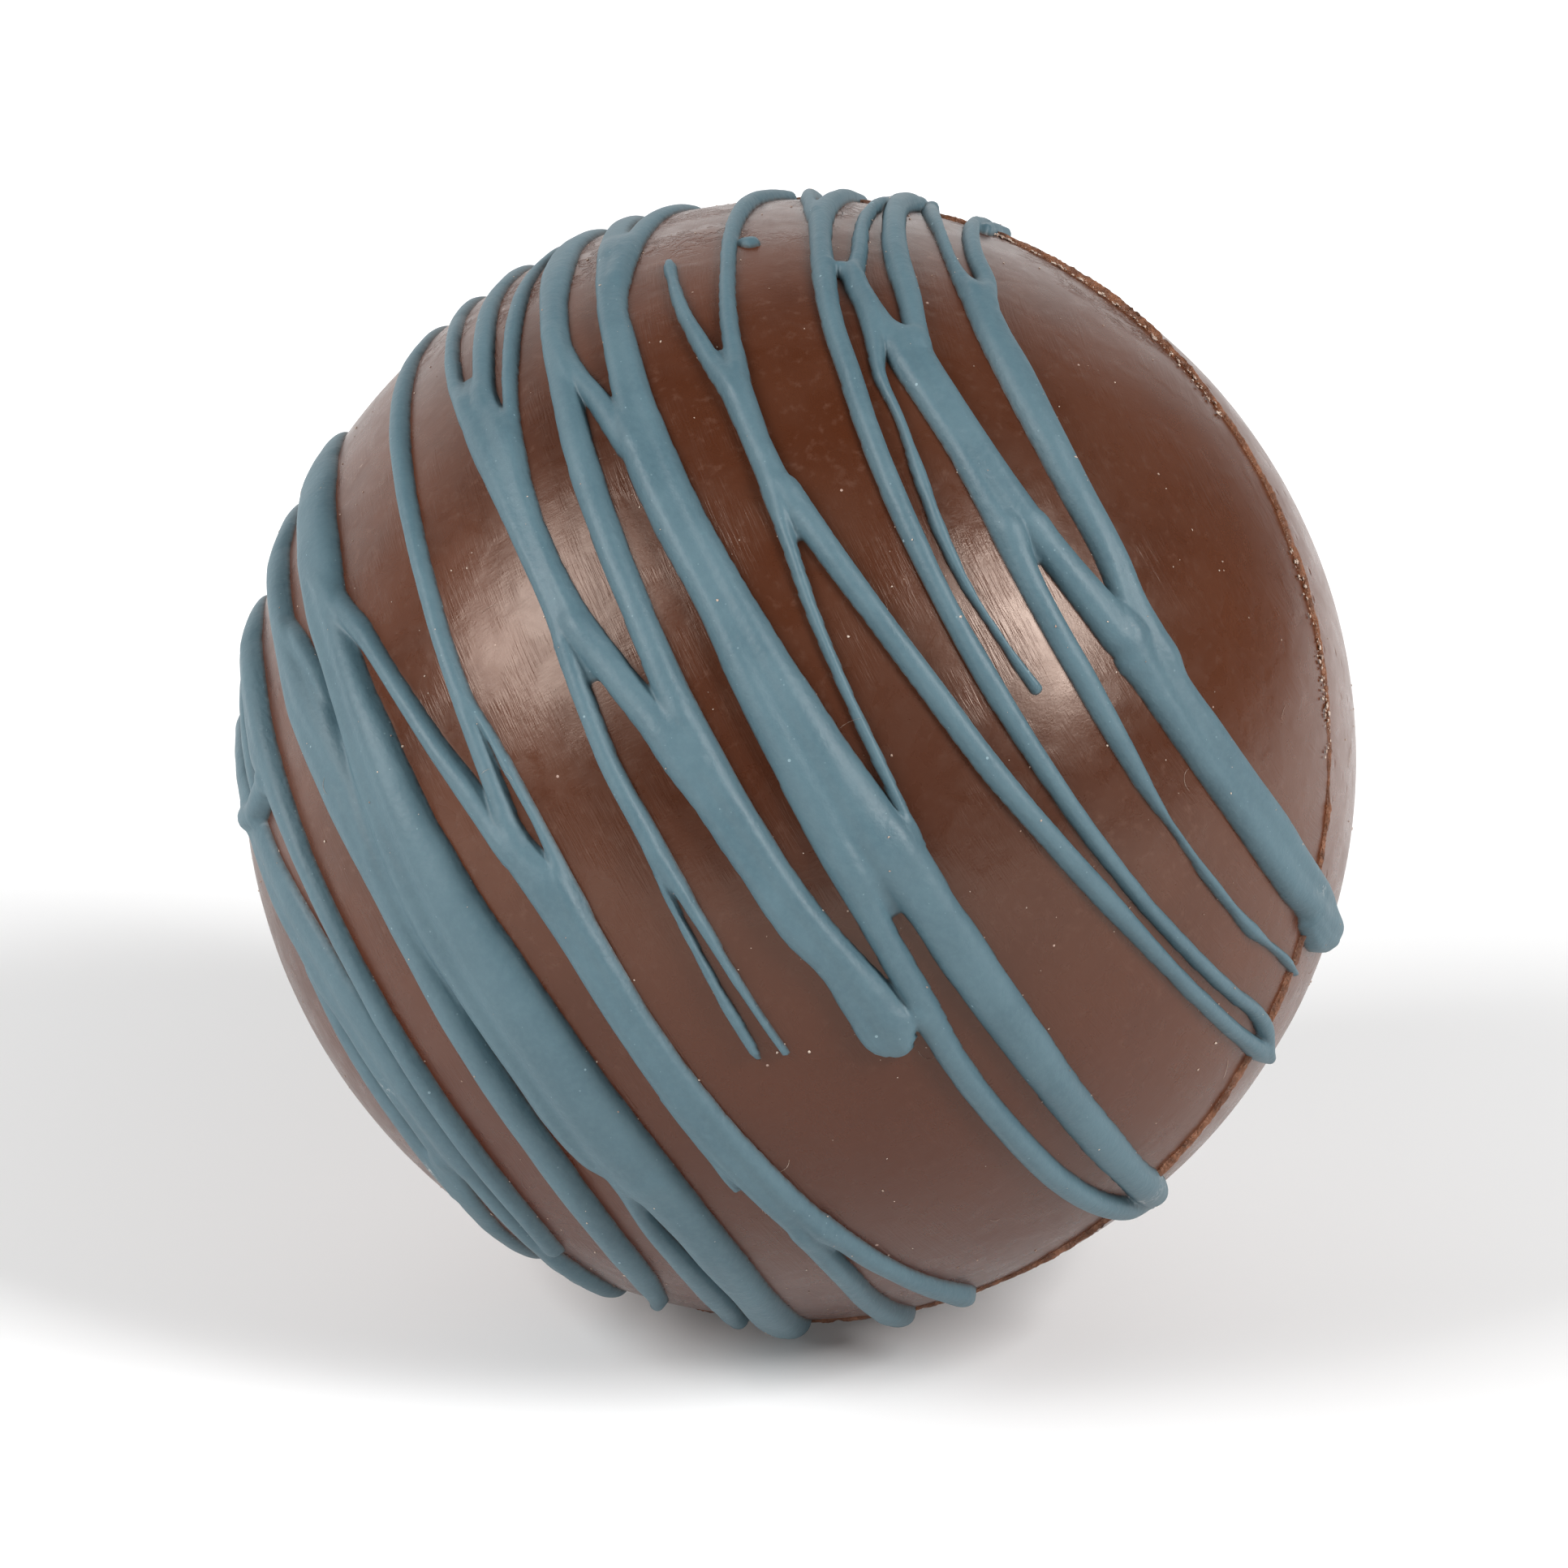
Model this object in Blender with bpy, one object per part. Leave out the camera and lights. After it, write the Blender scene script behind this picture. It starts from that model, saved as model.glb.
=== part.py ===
"""Hot chocolate sphere: two milk chocolate half shells melted together, with thick drizzle.

Metres, +Z up. The origin is the centre of the small flat spot that the ball rests on.
The decorated half faces -Y. Its axis leans up and to the left, so the weld between
the halves runs round the right side and just in front of the resting spot.
"""

import math

import bmesh
import bpy
from mathutils import Matrix, Vector

# Ball, measured on a 64 mm half sphere mould
RIM_RADIUS = 0.0320
POLE_HEIGHT = 0.0306
SEAM_PROUD = 0.00035
SEAM_BAND_ANGLE = 0.7
SEAM_FLANK_ANGLE = 0.5
FOOT_RADIUS = 0.0050
BALL_SEGMENTS = 48
BALL_RING_ANGLE = 9.0
TRIANGLE_BUDGET = 11600

# How the decorated half is turned, seen from the front and 20 degrees above
VIEW_ELEVATION = 20.0
AXIS_TURN_LEFT = 23.0
AXIS_RAISE = 1.2

# Drizzle, laid in nearly parallel strokes round one stroke axis
STROKE_AXIS_RIGHT = 29.0
STROKE_AXIS_FORWARD = 12.0
WRAP_START = 1.1
READING_RADIUS = 0.03245
EDGE_INSET = 0.00006
DRIZZLE_HEIGHT = 0.00128
DRIZZLE_THIN_HEIGHT = 0.00012
DRIZZLE_WIDTH_SCALE = 0.0017
DRIZZLE_SUNK = 0.00045
STATION_SPACING = 5.5
END_FRACTIONS = (0.12, 0.5)

# Drizzle lies lower where the strokes begin, up to a cross angle, and along the left
# edge: kept share of its height, then the angles where it starts to fall and ends
LOW_SHARE = 0.55
LOW_START_WRAPS = (-40.0, -70.0)
LOW_START_LANES = (32.0, 14.0)
LOW_EDGE_LANES = (-40.0, -50.0)

# Section of a strand, as sideways share of half the width and share of the height.
# The first and last points lie below the chocolate.
STRAND_SECTION = (
    (-0.88, None),
    (-0.93, 0.40),
    (-0.45, 0.95),
    (0.45, 0.95),
    (0.93, 0.40),
    (0.88, None),
)

# Strands of drizzle. Each point is the wrap angle along the stroke, then the
# left and right edge of the strand as angles across the strokes, in degrees.
STRANDS = {
    "limb_loop_outer": (
        (-86, -60.5, -58.0), (-70, -58.6, -55.2), (-50, -57.0, -53.6), (-38, -56.2, -52.2),
        (-26, -55.2, -50.8),
    ),
    "limb_loop_inner": (
        (-84, -53.0, -50.8), (-68, -52.2, -49.4), (-50, -51.0, -48.2), (-38, -50.6, -47.8),
        (-27, -51.2, -48.8),
    ),
    "left_band": (
        (-30, -55.2, -52.0), (-25, -55.7, -50.2), (-15, -55.6, -49.3), (-8, -55.3, -48.1),
        (0, -54.4, -47.0), (6, -54.0, -46.3), (12, -53.0, -45.7), (22, -52.3, -45.4),
        (34, -51.7, -45.1), (44, -51.9, -45.0),
    ),
    "left_band_outer_groove": (
        (4, -55.0, -52.8), (14, -55.5, -52.6), (26, -55.5, -52.2), (38, -55.3, -51.6),
        (48, -55.2, -52.2),
    ),
    "left_band_low_outer": (
        (40, -53.4, -48.6), (48, -54.2, -49.6), (56, -55.2, -50.8), (66, -56.4, -51.9),
        (76, -57.2, -53.2), (88, -58.0, -54.6), (97, -57.6, -55.4),
    ),
    "left_band_low_inner": (
        (42, -48.4, -45.2), (50, -48.0, -44.9), (58, -47.7, -44.2), (66, -48.0, -43.3),
        (76, -49.2, -43.8), (86, -50.0, -45.0), (95, -49.8, -46.6),
    ),
    "second_strand": (
        (-90, -49.5, -46.4), (-78, -48.2, -44.2), (-62, -46.9, -41.9), (-50, -46.2, -41.0),
        (-40, -45.9, -40.9), (-34, -46.8, -41.3), (-29, -47.6, -41.7), (-24, -46.4, -42.0),
        (-16, -45.8, -42.2), (-6, -45.5, -42.5), (8, -45.4, -42.4), (22, -45.2, -42.0),
        (36, -44.9, -41.8), (50, -44.5, -41.8), (60, -45.2, -42.6),
    ),
    "third_strand": (
        (-91, -39.6, -36.0), (-78, -38.0, -33.4), (-64, -36.7, -32.2), (-50, -36.1, -32.4),
        (-41, -36.0, -32.7), (-35, -36.1, -32.5), (-30, -36.4, -31.8), (-25, -36.8, -30.8),
        (-18, -36.5, -29.9), (-8, -35.9, -29.9), (2, -35.3, -30.6), (14, -35.3, -31.4),
        (28, -35.2, -31.4), (42, -35.2, -31.5), (52, -35.4, -32.0), (62, -36.2, -33.1),
        (70, -37.5, -35.2), (76, -39.3, -37.2), (83, -41.6, -39.9),
    ),
    "third_strand_side_lobe": (
        (-38, -33.0, -31.5), (-35, -32.8, -30.7), (-32, -32.4, -30.1), (-28, -32.0, -30.0),
        (-23, -31.9, -30.0), (-19, -31.6, -30.4),
    ),
    "wide_stripe": (
        (-90, -32.6, -28.4), (-79, -30.8, -25.4), (-67, -29.3, -23.4), (-56, -28.9, -22.6),
        (-47, -29.1, -22.9), (-38, -29.5, -23.4), (-31, -29.8, -24.1), (-24, -29.7, -24.4),
        (-14, -30.4, -23.9), (-4, -31.6, -23.6), (6, -32.4, -22.9), (16, -31.6, -21.9),
        (26, -30.9, -21.2), (34, -30.7, -20.9), (39, -29.9, -20.7), (43, -28.2, -20.7),
        (48, -28.7, -20.8),
    ),
    "wide_stripe_left_end": (
        (44, -28.2, -25.8), (50, -28.9, -26.8), (57, -29.3, -26.7), (65, -30.0, -27.0),
        (72, -30.8, -28.0), (80, -32.5, -30.0), (88, -34.2, -31.8), (93, -34.8, -33.2),
    ),
    "wide_stripe_right_end": (
        (44, -26.8, -20.7), (52, -26.1, -20.9), (60, -26.4, -21.4), (67, -26.8, -22.3),
        (75, -28.2, -23.3), (83, -29.8, -24.6), (91, -31.0, -26.0), (98, -30.6, -27.6),
    ),
    "cross_strand": (
        (-35, -27.4, -24.6), (-30, -26.2, -23.4), (-26, -24.8, -22.1), (-22, -23.6, -21.4),
        (-15, -22.2, -20.0), (-8, -21.0, -18.5), (-2, -20.0, -17.0), (4, -19.0, -16.2),
    ),
    "fourth_strand": (
        (-91, -13.0, -10.9), (-76, -12.4, -10.1), (-64, -12.4, -10.2), (-56, -13.1, -10.7),
        (-46, -13.9, -11.5), (-36, -14.4, -12.2), (-26, -15.0, -12.9), (-16, -15.7, -13.6),
        (-8, -16.3, -14.1), (0, -17.0, -14.7),
    ),
    "fourth_strand_twin": (
        (-9, -14.6, -13.7), (-6, -14.3, -13.3), (-1, -14.1, -12.9), (5, -13.9, -12.8),
        (11, -14.6, -12.7),
    ),
    "fourth_strand_merged": (
        (-1, -19.8, -14.9), (5, -18.8, -14.7), (10, -18.1, -12.9), (16, -17.5, -12.8),
        (26, -17.3, -13.0), (36, -17.1, -12.6), (45, -16.4, -11.9), (55, -15.4, -11.0),
        (62, -15.4, -10.0),
    ),
    "fourth_strand_side_lobe": (
        (37, -17.2, -16.0), (42, -17.0, -15.8), (46.5, -17.0, -15.8), (48.7, -16.9, -16.1),
    ),
    "fourth_strand_left_end": (
        (58, -15.4, -12.6), (66, -15.7, -12.9), (73, -16.4, -13.6), (80, -17.1, -13.9),
        (87, -18.0, -14.2), (94, -18.9, -15.6),
    ),
    "fourth_strand_right_end": (
        (58, -13.0, -10.5), (65, -12.0, -9.6), (72, -10.9, -8.6), (79, -10.2, -7.4),
        (84, -10.0, -6.8), (89, -10.0, -8.0),
    ),
    "fan_left": (
        (-84, -7.6, -5.6), (-72, -6.9, -4.7), (-62, -6.5, -4.5), (-54, -6.4, -4.7),
        (-47, -6.3, -4.5), (-41, -5.8, -3.6),
    ),
    "fan_middle": (
        (-90, -3.0, 0.0), (-77, -2.0, 0.8), (-66, -1.7, 0.6), (-58, -2.4, 0.0),
        (-50, -3.0, -0.5), (-41, -3.6, -1.3),
    ),
    "fan_right": (
        (-83, 3.6, 6.0), (-73, 3.6, 5.6), (-64, 2.8, 4.4), (-55, 1.4, 3.3),
        (-46, 0.2, 2.0), (-38, -0.8, 0.8), (-31, -1.4, 0.2),
    ),
    "fan_merged": (
        (-46, -6.2, -0.9), (-40, -5.7, -1.0), (-35, -5.4, 0.2), (-29, -4.7, 0.0),
        (-22, -4.1, -0.2), (-15, -3.8, 0.2), (-9, -4.0, 1.0), (-5, -4.4, 1.9),
    ),
    "fan_low_left": (
        (-8, -4.3, -1.9), (-3, -4.7, -2.5), (3, -5.2, -3.0), (10, -5.2, -2.9),
        (16, -5.6, -2.9),
    ),
    "fan_low_left_outer_twin": (
        (14, -5.4, -4.2), (18, -5.8, -4.8), (24, -6.2, -5.2), (29, -6.6, -5.4),
        (34.6, -6.7, -5.8),
    ),
    "fan_low_left_inner_twin": (
        (14, -4.9, -3.0), (19, -4.4, -3.1), (25, -4.3, -3.3), (30, -4.2, -3.4),
        (35.8, -4.0, -3.5),
    ),
    "fan_link": (
        (-9, -2.4, 1.1), (-4, -1.3, 2.2), (1, -0.3, 3.6), (6, 0.4, 5.0),
    ),
    "fifth_strand": (
        (-91, 4.0, 8.6), (-78, 5.0, 9.2), (-66, 5.1, 8.9), (-58, 4.7, 8.5),
        (-51, 4.6, 7.8), (-44, 4.3, 7.5), (-36, 4.1, 7.3), (-28, 3.6, 6.9),
        (-18, 3.3, 6.6), (-8, 3.1, 6.3), (0, 2.6, 6.1),
    ),
    "fifth_strand_merged": (
        (-2, -0.2, 6.1), (5, 0.2, 6.2), (11, 1.1, 6.3), (19, 1.7, 6.5),
        (25, 2.0, 7.0), (30, 3.1, 7.7), (35, 3.0, 8.5), (39, 2.9, 8.6), (41.7, 4.0, 7.4),
    ),
    "fifth_to_sixth_web": (
        (-43, 4.8, 7.4), (-38, 5.6, 8.3), (-33, 7.2, 9.8), (-27, 8.3, 11.4),
    ),
    "sixth_strand_left_start": (
        (-91, 8.6, 12.4), (-78, 10.0, 13.6), (-67, 10.8, 14.0), (-58, 10.8, 14.4),
    ),
    "sixth_strand_right_start": (
        (-88, 15.4, 18.0), (-77, 15.0, 17.8), (-68, 14.3, 17.2), (-60, 13.2, 16.0),
        (-52, 11.9, 14.6),
    ),
    "sixth_strand": (
        (-64, 10.8, 15.2), (-58, 10.8, 15.6), (-52, 10.6, 14.6), (-46, 10.4, 13.7),
        (-38, 10.2, 13.8), (-31, 9.7, 13.8), (-23, 8.9, 14.1), (-15, 9.2, 14.5),
        (-6, 9.8, 15.3), (3, 9.4, 16.1), (11, 9.3, 16.8), (18, 9.0, 17.5),
        (25, 8.9, 18.2), (29, 8.8, 18.1),
    ),
    "sixth_strand_left_end": (
        (22, 8.9, 12.6), (30, 8.7, 11.8), (38, 8.1, 11.3), (46, 7.6, 10.4),
        (56, 7.5, 10.2), (68, 7.5, 10.3), (78, 8.0, 10.8), (86, 8.6, 11.6),
        (93, 9.4, 11.6),
    ),
    "sixth_strand_right_end": (
        (22, 12.4, 18.3), (30, 13.0, 18.1), (38, 13.0, 18.1), (48, 13.1, 17.8),
        (58, 12.9, 17.2), (68, 12.5, 16.6), (78, 12.0, 15.7), (85, 11.2, 15.2),
        (91, 10.6, 14.3), (95.5, 10.4, 13.2),
    ),
    "seventh_strand_left": (
        (-52, 17.6, 18.9), (-47, 17.8, 19.0), (-41, 18.1, 19.6), (-35, 18.7, 20.7),
        (-29, 19.6, 21.6),
    ),
    "seventh_strand_right": (
        (-88, 26.0, 28.0), (-78, 25.3, 27.4), (-68, 24.5, 26.6), (-58, 23.8, 25.5),
        (-48, 23.0, 24.6), (-40, 22.1, 23.8), (-32, 21.2, 23.3),
    ),
    "seventh_strand_merged": (
        (-34, 18.9, 23.4), (-28, 19.7, 23.1), (-21, 20.0, 22.9), (-15, 20.0, 23.3),
        (-9, 19.8, 24.6),
    ),
    "seventh_strand_left_end": (
        (-14, 19.9, 21.8), (-8, 19.6, 21.1), (0, 18.9, 20.1), (8, 18.4, 19.5),
        (15, 17.9, 19.1), (22, 17.2, 18.5),
    ),
    "seventh_strand_right_end": (
        (-13, 21.0, 24.0), (-6, 22.2, 25.0), (2, 23.6, 26.2), (12, 25.0, 27.6),
        (22, 26.1, 28.7), (32, 27.5, 29.9), (42, 28.6, 31.0), (52, 29.6, 31.5),
        (64, 30.1, 31.9), (76, 30.2, 32.0), (84, 29.7, 32.0), (91.5, 29.9, 30.7),
    ),
    "eighth_strand_left_start": (
        (-91, 28.0, 30.0), (-80, 29.6, 31.3), (-71, 30.8, 32.4), (-63, 31.7, 33.2),
    ),
    "eighth_strand": (
        (-92, 32.6, 34.6), (-81, 33.1, 35.0), (-71, 33.0, 35.2), (-63, 32.1, 34.8),
        (-54, 32.1, 34.4), (-45, 31.7, 34.2), (-36, 31.3, 33.6), (-26, 31.1, 33.5),
        (-18, 30.7, 33.1), (-8, 30.4, 32.8), (4, 30.3, 32.5), (12, 30.3, 32.7),
        (22, 30.7, 32.8), (34, 31.2, 33.1), (46, 31.9, 33.5), (58, 32.5, 34.2),
        (70, 33.0, 34.6), (76, 33.0, 34.7), (81, 32.0, 34.1), (86, 30.4, 32.4),
    ),
    "ninth_strand": (
        (-88, 38.0, 39.6), (-78, 37.8, 39.4), (-69, 37.4, 38.9), (-59, 36.8, 38.1),
        (-50, 35.9, 37.4), (-43, 34.6, 36.6), (-37, 35.0, 37.4), (-32, 34.9, 37.2),
        (-26, 34.5, 35.8), (-19, 34.8, 35.8), (-12, 34.2, 35.5), (-4, 33.6, 34.9),
        (3, 33.6, 34.6), (9, 34.2, 34.9), (13, 34.4, 35.3), (17.8, 34.7, 35.9),
    ),
    "tenth_strand": (
        (-92, 37.6, 41.2), (-84, 38.2, 41.8), (-76, 38.9, 41.7), (-64, 39.3, 41.8),
        (-50, 39.1, 41.9), (-40, 39.1, 41.8), (-34, 38.4, 41.5),
    ),
    "tenth_strand_merged": (
        (-43, 35.4, 37.5), (-39, 35.8, 38.6), (-36.5, 36.0, 39.8), (-33.5, 36.2, 41.4),
        (-28, 36.4, 41.3), (-21, 37.4, 42.2),
        (-14, 38.3, 43.1), (-6, 38.7, 44.2), (1, 38.8, 45.3), (4, 38.9, 45.8),
    ),
    "tenth_strand_left_end": (
        (0, 38.8, 42.0), (8, 38.8, 41.5), (20, 38.8, 41.4), (30, 38.8, 40.9),
        (37, 38.9, 40.3), (44, 39.4, 39.9), (51, 39.0, 40.1), (60, 39.0, 40.1),
        (65, 38.9, 40.3), (70, 39.4, 40.2), (76, 39.3, 40.4), (82.5, 38.8, 39.6),
    ),
    "tenth_strand_link": (
        (0, 41.4, 45.2), (6, 42.4, 46.3), (12, 43.2, 47.5), (18, 43.8, 48.7),
    ),
    "eleventh_strand_left_start": (
        (-90, 40.8, 42.6), (-81, 42.0, 43.8), (-70, 43.4, 45.1), (-60, 44.7, 46.0),
        (-50, 45.5, 46.8), (-43, 45.9, 48.0),
    ),
    "eleventh_strand_right_start": (
        (-91, 46.4, 48.6), (-80, 47.0, 48.9), (-66, 47.4, 49.2), (-55, 47.7, 49.6),
        (-46, 48.2, 50.3), (-40, 47.6, 49.8),
    ),
    "eleventh_strand_limb_drip": (
        (-90, 49.0, 50.7), (-81, 48.6, 50.4), (-73, 48.7, 50.0),
    ),
    "eleventh_strand": (
        (-47, 45.8, 50.2), (-40, 46.1, 49.7), (-33, 46.3, 50.1), (-25, 46.8, 50.9),
        (-15, 47.3, 51.3), (-5, 47.7, 51.5), (8, 47.8, 51.5), (15, 46.4, 50.9),
        (20, 44.0, 51.0), (24, 44.4, 51.1), (28, 44.6, 50.4), (36, 44.9, 50.7),
        (48, 45.0, 50.8), (58, 44.8, 50.7), (67, 44.3, 50.0), (76, 43.9, 49.3),
        (83, 43.0, 48.4), (89, 42.5, 47.2), (95, 43.1, 45.7), (98.5, 43.8, 44.7),
    ),
    "eleventh_strand_snapped_side": (
        (79, 42.8, 45.4), (84, 41.8, 44.8), (89, 41.9, 44.6),
    ),
}

# Short webs that cross the strokes: wrap angle and cross angle of the middle
# line in degrees, with the width in metres
WEBS = {
    "left_limb_web": ((-28.5, -54.2, 0.0015), (-25.0, -50.6, 0.0018), (-24.2, -45.6, 0.0018)),
    "lobe_to_sixth_web": ((37.0, 6.2, 0.0017), (38.6, 8.6, 0.0016)),
    "eighth_to_ninth_web": ((-48.0, 33.6, 0.0010), (-45.2, 35.2, 0.0011), (-42.0, 35.8, 0.0011)),
}

# One loose droplet beside the seventh strand, with its radius and how deep its middle lies
DROPLET = (-52.2, 26.1, 0.00085, 0.00030)

CHOCOLATE_COLOUR = (0.162, 0.076, 0.057, 1.0)
CHOCOLATE_ROUGHNESS = 0.36
SHARP_ANGLE = 40.0


def clear_objects():
    """Remove whatever the scene holds."""
    for item in list(bpy.data.objects):
        bpy.data.objects.remove(item, do_unlink=True)


def view_directions():
    """Right, up and towards-the-viewer directions at the shown elevation."""
    lift = math.radians(VIEW_ELEVATION)
    right = Vector((1.0, 0.0, 0.0))
    up = Vector((0.0, math.sin(lift), math.cos(lift)))
    viewer = Vector((0.0, -math.cos(lift), math.sin(lift)))
    return right, up, viewer


def dome_axis():
    """Axis of the decorated half, turned left of the view and slightly raised."""
    right, up, viewer = view_directions()
    turn = math.radians(AXIS_TURN_LEFT)
    rise = math.radians(AXIS_RAISE)
    level = viewer * math.cos(turn) - right * math.sin(turn)
    return (level * math.cos(rise) + up * math.sin(rise)).normalized()


def stroke_frame():
    """Stroke axis, the dome axis squared to it, and the direction a quarter turn on."""
    right, up, viewer = view_directions()
    forward = math.radians(STROKE_AXIS_FORWARD)
    climb = math.radians(STROKE_AXIS_RIGHT)
    flat = right * math.cos(climb) + up * math.sin(climb)
    axis = flat * math.cos(forward) + viewer * math.sin(forward)
    front = dome_axis()
    front = (front - axis * front.dot(axis)).normalized()
    return axis, front, axis.cross(front)


def ball_radius(direction):
    """Radius of the bare ball: each half is a little lower than its rim is wide."""
    along = direction.dot(dome_axis())
    return POLE_HEIGHT + (RIM_RADIUS - POLE_HEIGHT) * (1.0 - along * along)


def ball_centre():
    """Centre of the ball above the middle of its flat spot."""
    reach = ball_radius(Vector((0.0, 0.0, -1.0)))
    return Vector((0.0, 0.0, math.sqrt(reach * reach - FOOT_RADIUS * FOOT_RADIUS)))


def stroke_direction(wrap, lane):
    """Direction from the ball's centre for a wrap angle and an angle across.

    Wrap 0 lies a little past the dome axis, by WRAP_START. The angles are those on a
    round ball of READING_RADIUS, so the spot is moved to the same place, as seen from
    the front, on the real and lower ball.
    """
    axis, front, onward = stroke_frame()
    around = math.radians(wrap + WRAP_START)
    across = math.radians(lane)
    ring = front * math.cos(around) + onward * math.sin(around)
    direction = axis * math.sin(across) + ring * math.cos(across)
    viewer = view_directions()[2]
    depth = direction.dot(viewer)
    lower = 1.0 - (ball_radius(direction) / READING_RADIUS) ** 2
    moved = depth * abs(depth) / math.sqrt(depth * depth + lower)
    return (direction + viewer * (moved - depth)).normalized()


def seam_profile():
    """Profile of the ball as radius and angle from the decorated pole."""
    outer = 90.0 - 0.5 * SEAM_BAND_ANGLE
    inner = outer - SEAM_FLANK_ANGLE
    half = []
    steps = round(90.0 / BALL_RING_ANGLE)
    for index in range(steps):
        half.append((index * BALL_RING_ANGLE, 0.0))
    half.append((inner, 0.0))
    half.append((outer, SEAM_PROUD))
    mirrored = [(180.0 - angle, proud) for angle, proud in reversed(half)]
    return half + mirrored


def make_ball(material):
    """Turned ball with a proud weld band."""
    shape = bmesh.new()
    profile = []
    for angle, proud in seam_profile():
        turn = math.radians(angle)
        bare = POLE_HEIGHT + (RIM_RADIUS - POLE_HEIGHT) * math.sin(turn) ** 2
        reach = bare + proud
        profile.append(shape.verts.new((reach * math.sin(turn), 0.0, reach * math.cos(turn))))
    edges = [shape.edges.new(pair) for pair in zip(profile, profile[1:])]
    bmesh.ops.spin(
        shape,
        geom=profile + edges,
        cent=(0.0, 0.0, 0.0),
        axis=(0.0, 0.0, 1.0),
        angle=math.tau,
        steps=BALL_SEGMENTS,
        use_merge=True,
    )
    bmesh.ops.remove_doubles(shape, verts=shape.verts, dist=0.000005)
    bmesh.ops.recalc_face_normals(shape, faces=shape.faces)
    tilt = dome_axis().to_track_quat("Z", "Y").to_matrix().to_4x4()
    shape.transform(Matrix.Translation(ball_centre()) @ tilt)
    mesh = bpy.data.meshes.new("chocolate_sphere")
    shape.to_mesh(mesh)
    shape.free()
    mesh.materials.append(material)
    ball = bpy.data.objects.new("chocolate_sphere", mesh)
    bpy.context.scene.collection.objects.link(ball)
    return ball


def smooth_value(points, place):
    """Values at a place along a smooth curve through rows of place and values."""
    index = 0
    while index < len(points) - 2 and place > points[index + 1][0]:
        index += 1
    before = points[max(index - 1, 0)]
    start = points[index]
    end = points[index + 1]
    after = points[min(index + 2, len(points) - 1)]
    span = end[0] - start[0]
    share = min(max((place - start[0]) / span, 0.0), 1.0)
    values = []
    for column in range(1, len(start)):
        slope_in = span * (end[column] - before[column]) / (end[0] - before[0])
        slope_out = span * (after[column] - start[column]) / (after[0] - start[0])
        square = share * share
        cube = square * share
        values.append(
            (2.0 * cube - 3.0 * square + 1.0) * start[column]
            + (cube - 2.0 * square + share) * slope_in
            + (3.0 * square - 2.0 * cube) * end[column]
            + (cube - square) * slope_out
        )
    return values


def evenly(first, last, spacing):
    """Places from first to last, no more than one spacing apart."""
    count = max(int(math.ceil(abs(last - first) / spacing)), 2)
    return [first + (last - first) * index / count for index in range(count + 1)]


def strand_stations(points):
    """Middle line of a strand as wrap, lane and width in metres."""
    stations = []
    for wrap in evenly(points[0][0], points[-1][0], STATION_SPACING):
        left, right = smooth_value(points, wrap)
        width = math.radians(right - left) * RIM_RADIUS - 2.0 * EDGE_INSET
        stations.append((wrap, 0.5 * (left + right), width))
    return stations


def web_stations(points):
    """Middle line of a web that crosses the strokes, in three steps a span."""
    placed = [(float(index),) + point for index, point in enumerate(points)]
    places = evenly(0.0, len(points) - 1.0, 0.5)
    return [tuple(smooth_value(placed, place)) for place in places]


def drizzle_height(width):
    """Height of a strand: a wide stripe is flatter than a narrow thread."""
    return DRIZZLE_THIN_HEIGHT + DRIZZLE_HEIGHT * (1.0 - math.exp(-width / DRIZZLE_WIDTH_SCALE))


def soft_step(start, end, value):
    """Rise from 0 at the start to 1 at the end, level at both."""
    share = min(max((value - start) / (end - start), 0.0), 1.0)
    return share * share * (3.0 - 2.0 * share)


def height_share(wrap, lane):
    """Share of a strand's height kept at a place on the ball."""
    begins = soft_step(*LOW_START_WRAPS, wrap) * soft_step(*LOW_START_LANES, lane)
    low = max(begins, soft_step(*LOW_EDGE_LANES, lane))
    return 1.0 - (1.0 - LOW_SHARE) * low


def strand_rings(stations, across_strokes):
    """Rings of points round a strand, with round ends."""
    middles = []
    for wrap, lane, width in stations:
        direction = stroke_direction(wrap, lane)
        point = direction * ball_radius(direction)
        middles.append((point, direction, width, height_share(wrap, lane)))
    axis = stroke_frame()[0]
    rows = []
    last = len(middles) - 1
    for index, (point, outward, width, kept) in enumerate(middles):
        along = middles[min(index + 1, last)][0] - middles[max(index - 1, 0)][0]
        along = (along - outward * along.dot(outward)).normalized()
        side = along.cross(outward).normalized()
        lean = 1.0 if across_strokes else abs(side.dot(axis)) / axis.cross(outward).length
        rows.append((point, outward, along, side, width * lean, kept))
    rounded = [end_row(rows[0], -1.0, share) for share in END_FRACTIONS]
    rounded += [row + (1.0,) for row in rows[1:-1]]
    rounded += [end_row(rows[-1], 1.0, share) for share in reversed(END_FRACTIONS)]
    return [section_ring(row) for row in rounded]


def end_row(row, sense, share):
    """One of the shrinking stations that round off the end of a strand."""
    point, outward, along, side, width, kept = row
    back = 0.5 * width * (1.0 - share)
    shrink = math.sqrt(1.0 - (1.0 - share) ** 2)
    tip = point + along * (sense * (back - 0.5 * width))
    return tip, outward, along, side, width, kept, shrink


def section_ring(row):
    """Six points of the strand's section at one station."""
    point, outward, along, side, width, kept, shrink = row
    height = drizzle_height(width) * kept * shrink
    ring = []
    for sideways, upward in STRAND_SECTION:
        rise = -DRIZZLE_SUNK if upward is None else upward * height
        ring.append(ball_centre() + point + side * (0.5 * width * shrink * sideways) + outward * rise)
    return ring


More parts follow.
